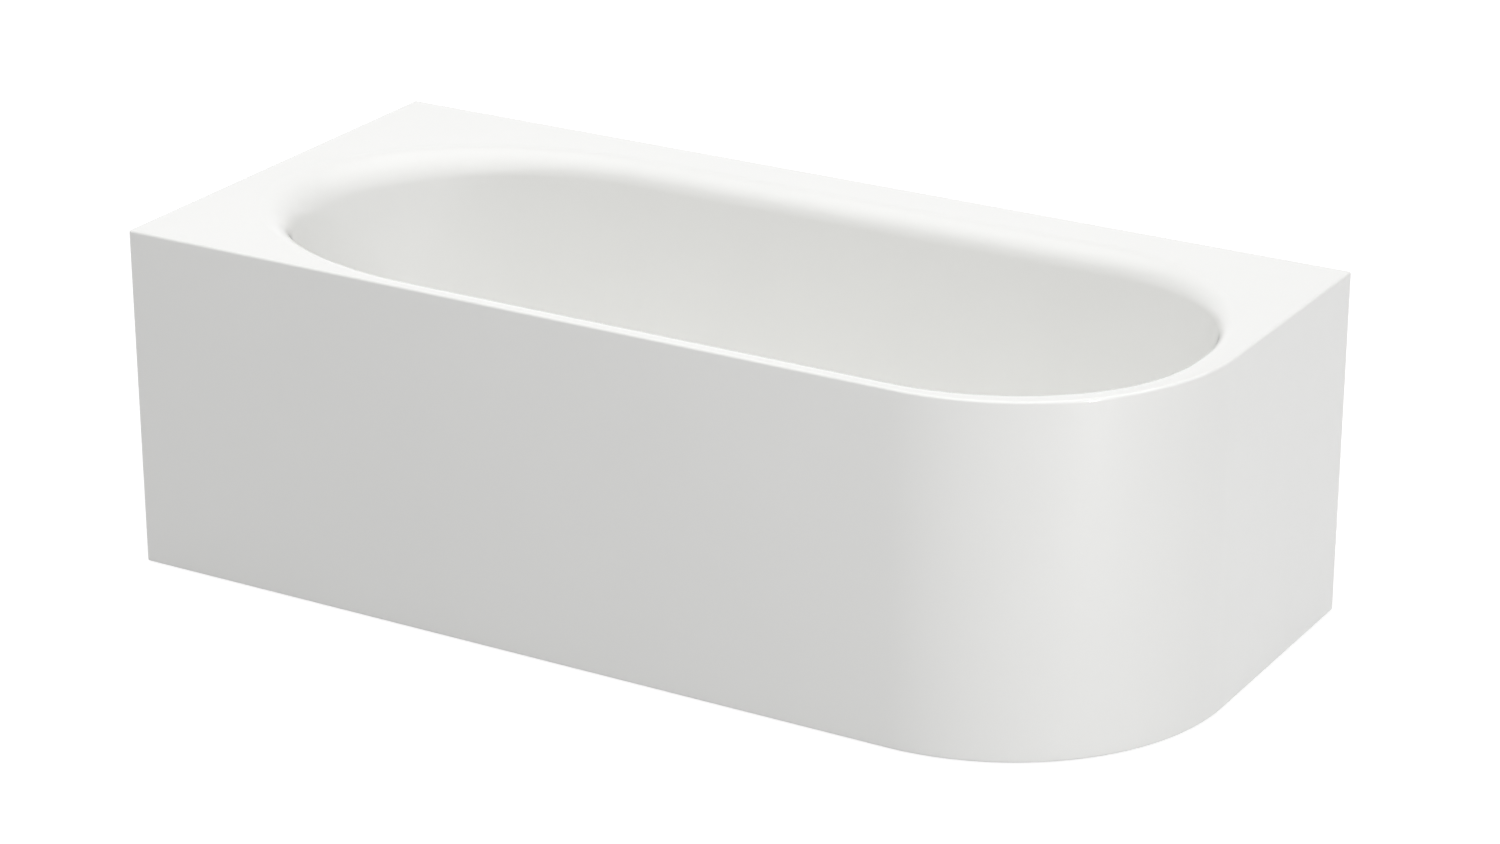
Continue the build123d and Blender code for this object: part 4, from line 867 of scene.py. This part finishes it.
class BATH_OT_stage(BathOperator):
    """Set the camera, the floor, the world and the lamps"""

    bl_idname = "bath.stage"
    bl_label = "Stage"

    def execute(self, context):
        scene = context.scene
        scene.view_settings.view_transform = "Standard"
        camera = bpy.data.objects.new("camera", bpy.data.cameras.new("camera"))
        camera.data.lens = 101.11
        camera.data.sensor_width = 36
        camera.data.clip_end = 100
        camera.location = (3.1714, -5.3560, 2.7576)
        camera.rotation_euler = (radians(90 - 21.671), 0, radians(30.366))
        scene.collection.objects.link(camera)
        scene.camera = camera
        self.lamps(scene)
        self.surroundings(scene)
        return {"FINISHED"}

    def lamps(self, scene):
        """Soft boxes above, in front and behind, and low ones that light the sides but not the bowl."""
        for name, place, aim, size, power, shines in (
            ("overhead", (-0.4, 0.0, 4.5), (-0.4, 0.0, 0.5), (6.0, 6.0), 160, False),
            ("backdrop", (0.2, 4.4, 1.5), (0, 0, 0.5), (7.0, 2.8), 28, False),
            ("front", (1.5, -4.2, 4.4), (0, 0, 0.5), (4.0, 4.0), 64, False),
            ("corner", (4.3, -2.5, 0.27), (0.5, 0, 0.27), (1.6, 0.5), 12, False),
            ("strip", (4.26, -1.91, 0.27), (0.5, 0, 0.27), (0.3, 0.5), 58, True),
            ("left", (-2.6, -4.2, 0.27), (-0.5, 0, 0.27), (1.6, 0.5), 20, False),
            ("rear", (-3.0, 3.4, 0.27), (0, 0, 0.27), (1.6, 0.5), 60, False),
        ):
            turn = (Vector(aim) - Vector(place)).to_track_quat("-Z", "Y").to_euler()
            self.soft_box(scene, name, place, turn, size, power).visible_glossy = shines

        # Large tilted ceiling that lies in the enamel's reflections alone and fades towards the back
        turn = (radians(17.5), radians(20.5), 0)
        ceiling = self.soft_box(scene, "ceiling", (-0.19, 0.49, 6.24), turn, (16.5, 13.75), 310)
        ceiling.data.spread = radians(140)
        ceiling.visible_diffuse = False

    def soft_box(self, scene, name, place, turn, size, power):
        """Rectangular lamp; sizes in metres and power in watts."""
        lamp = bpy.data.lights.new(name, "AREA")
        lamp.shape = "RECTANGLE"
        lamp.size, lamp.size_y = size
        lamp.energy = power
        made = bpy.data.objects.new(name, lamp)
        made.location = place
        made.rotation_euler = turn
        scene.collection.objects.link(made)
        return made

    def seen(self, tree):
        """One for rays from the camera, in reflections and through glass, and nought for the others."""
        path = node(tree, "ShaderNodeLightPath").outputs
        most = {"operation": "MAXIMUM"}
        straight = node(tree, "ShaderNodeMath", most, {0: path["Is Camera Ray"], 1: path["Is Transmission Ray"]})
        return node(tree, "ShaderNodeMath", most, {0: straight.outputs[0], 1: path["Is Glossy Ray"]}).outputs[0]

    def surroundings(self, scene):
        """White to the camera and in reflections; dimmer where it lights the bath."""
        world = bpy.data.worlds.new("studio")
        scene.world = world
        world.use_nodes = True
        tree = world.node_tree
        tree.nodes.clear()
        seen = self.seen(tree)
        strength = node(tree, "ShaderNodeMapRange", {"To Min": 0.285, "To Max": 1.0}, {"Value": seen})
        shader = node(
            tree, "ShaderNodeBackground", {"Color": (1, 1, 1, 1)}, {"Strength": strength.outputs[0]}
        )
        node(tree, "ShaderNodeOutputWorld", links={"Surface": shader.outputs[0]})

        colours = scene.bath_colours
        material = bpy.data.materials.new("Pale studio floor")
        material.use_nodes = True
        tree = material.node_tree
        tree.nodes.clear()
        plain = node(tree, "ShaderNodeBsdfDiffuse", {"Color": colours.floor}).outputs[0]
        lift = node(tree, "ShaderNodeMath", {"operation": "MULTIPLY", 1: 0.86}, {0: self.seen(tree)}).outputs[0]
        white = node(tree, "ShaderNodeEmission", {"Color": (1, 1, 1, 1)}, {"Strength": lift}).outputs[0]
        both = node(tree, "ShaderNodeAddShader", links={0: plain, 1: white}).outputs[0]
        node(tree, "ShaderNodeOutputMaterial", links={"Surface": both})
        bm = bmesh.new()
        bmesh.ops.create_circle(bm, cap_ends=True, segments=64, radius=30)
        bmesh.ops.translate(bm, vec=(0, 0, -0.0002), verts=bm.verts)
        mesh = bpy.data.meshes.new("floor")
        bm.to_mesh(mesh)
        bm.free()
        mesh.materials.append(material)
        floor = bpy.data.objects.new("floor", mesh)
        scene.collection.objects.link(floor)


class BATH_PT_sidebar(bpy.types.Panel):
    bl_label = "Panelled bathtub"
    bl_idname = "BATH_PT_sidebar"
    bl_space_type = "VIEW_3D"
    bl_region_type = "UI"
    bl_category = "Bath"

    def draw(self, context):
        for made in OPERATORS:
            self.layout.operator(made.bl_idname)


OPERATORS = (
    BATH_OT_materials,
    BATH_OT_shell,
    BATH_OT_panel,
    BATH_OT_waste,
    BATH_OT_overflow,
    BATH_OT_drain,
    BATH_OT_seals,
    BATH_OT_metalwork,
    BATH_OT_mats,
    BATH_OT_feet,
    BATH_OT_stage,
)
CLASSES = (BathSizes, BathColours, *OPERATORS, BATH_PT_sidebar)


def register():
    for made in CLASSES:
        bpy.utils.register_class(made)
    bpy.types.Scene.bath_sizes = PointerProperty(type=BathSizes)
    bpy.types.Scene.bath_colours = PointerProperty(type=BathColours)


def unregister():
    del bpy.types.Scene.bath_colours
    del bpy.types.Scene.bath_sizes
    for made in reversed(CLASSES):
        bpy.utils.unregister_class(made)


def main():
    register()
    bpy.ops.bath.materials()
    bpy.ops.bath.stage()
    bpy.ops.bath.shell()
    bpy.ops.bath.panel()
    bpy.ops.bath.waste()
    bpy.ops.bath.overflow()
    bpy.ops.bath.drain()
    bpy.ops.bath.seals()
    bpy.ops.bath.metalwork()
    bpy.ops.bath.mats()
    bpy.ops.bath.feet()


if __name__ == "__main__":
    main()
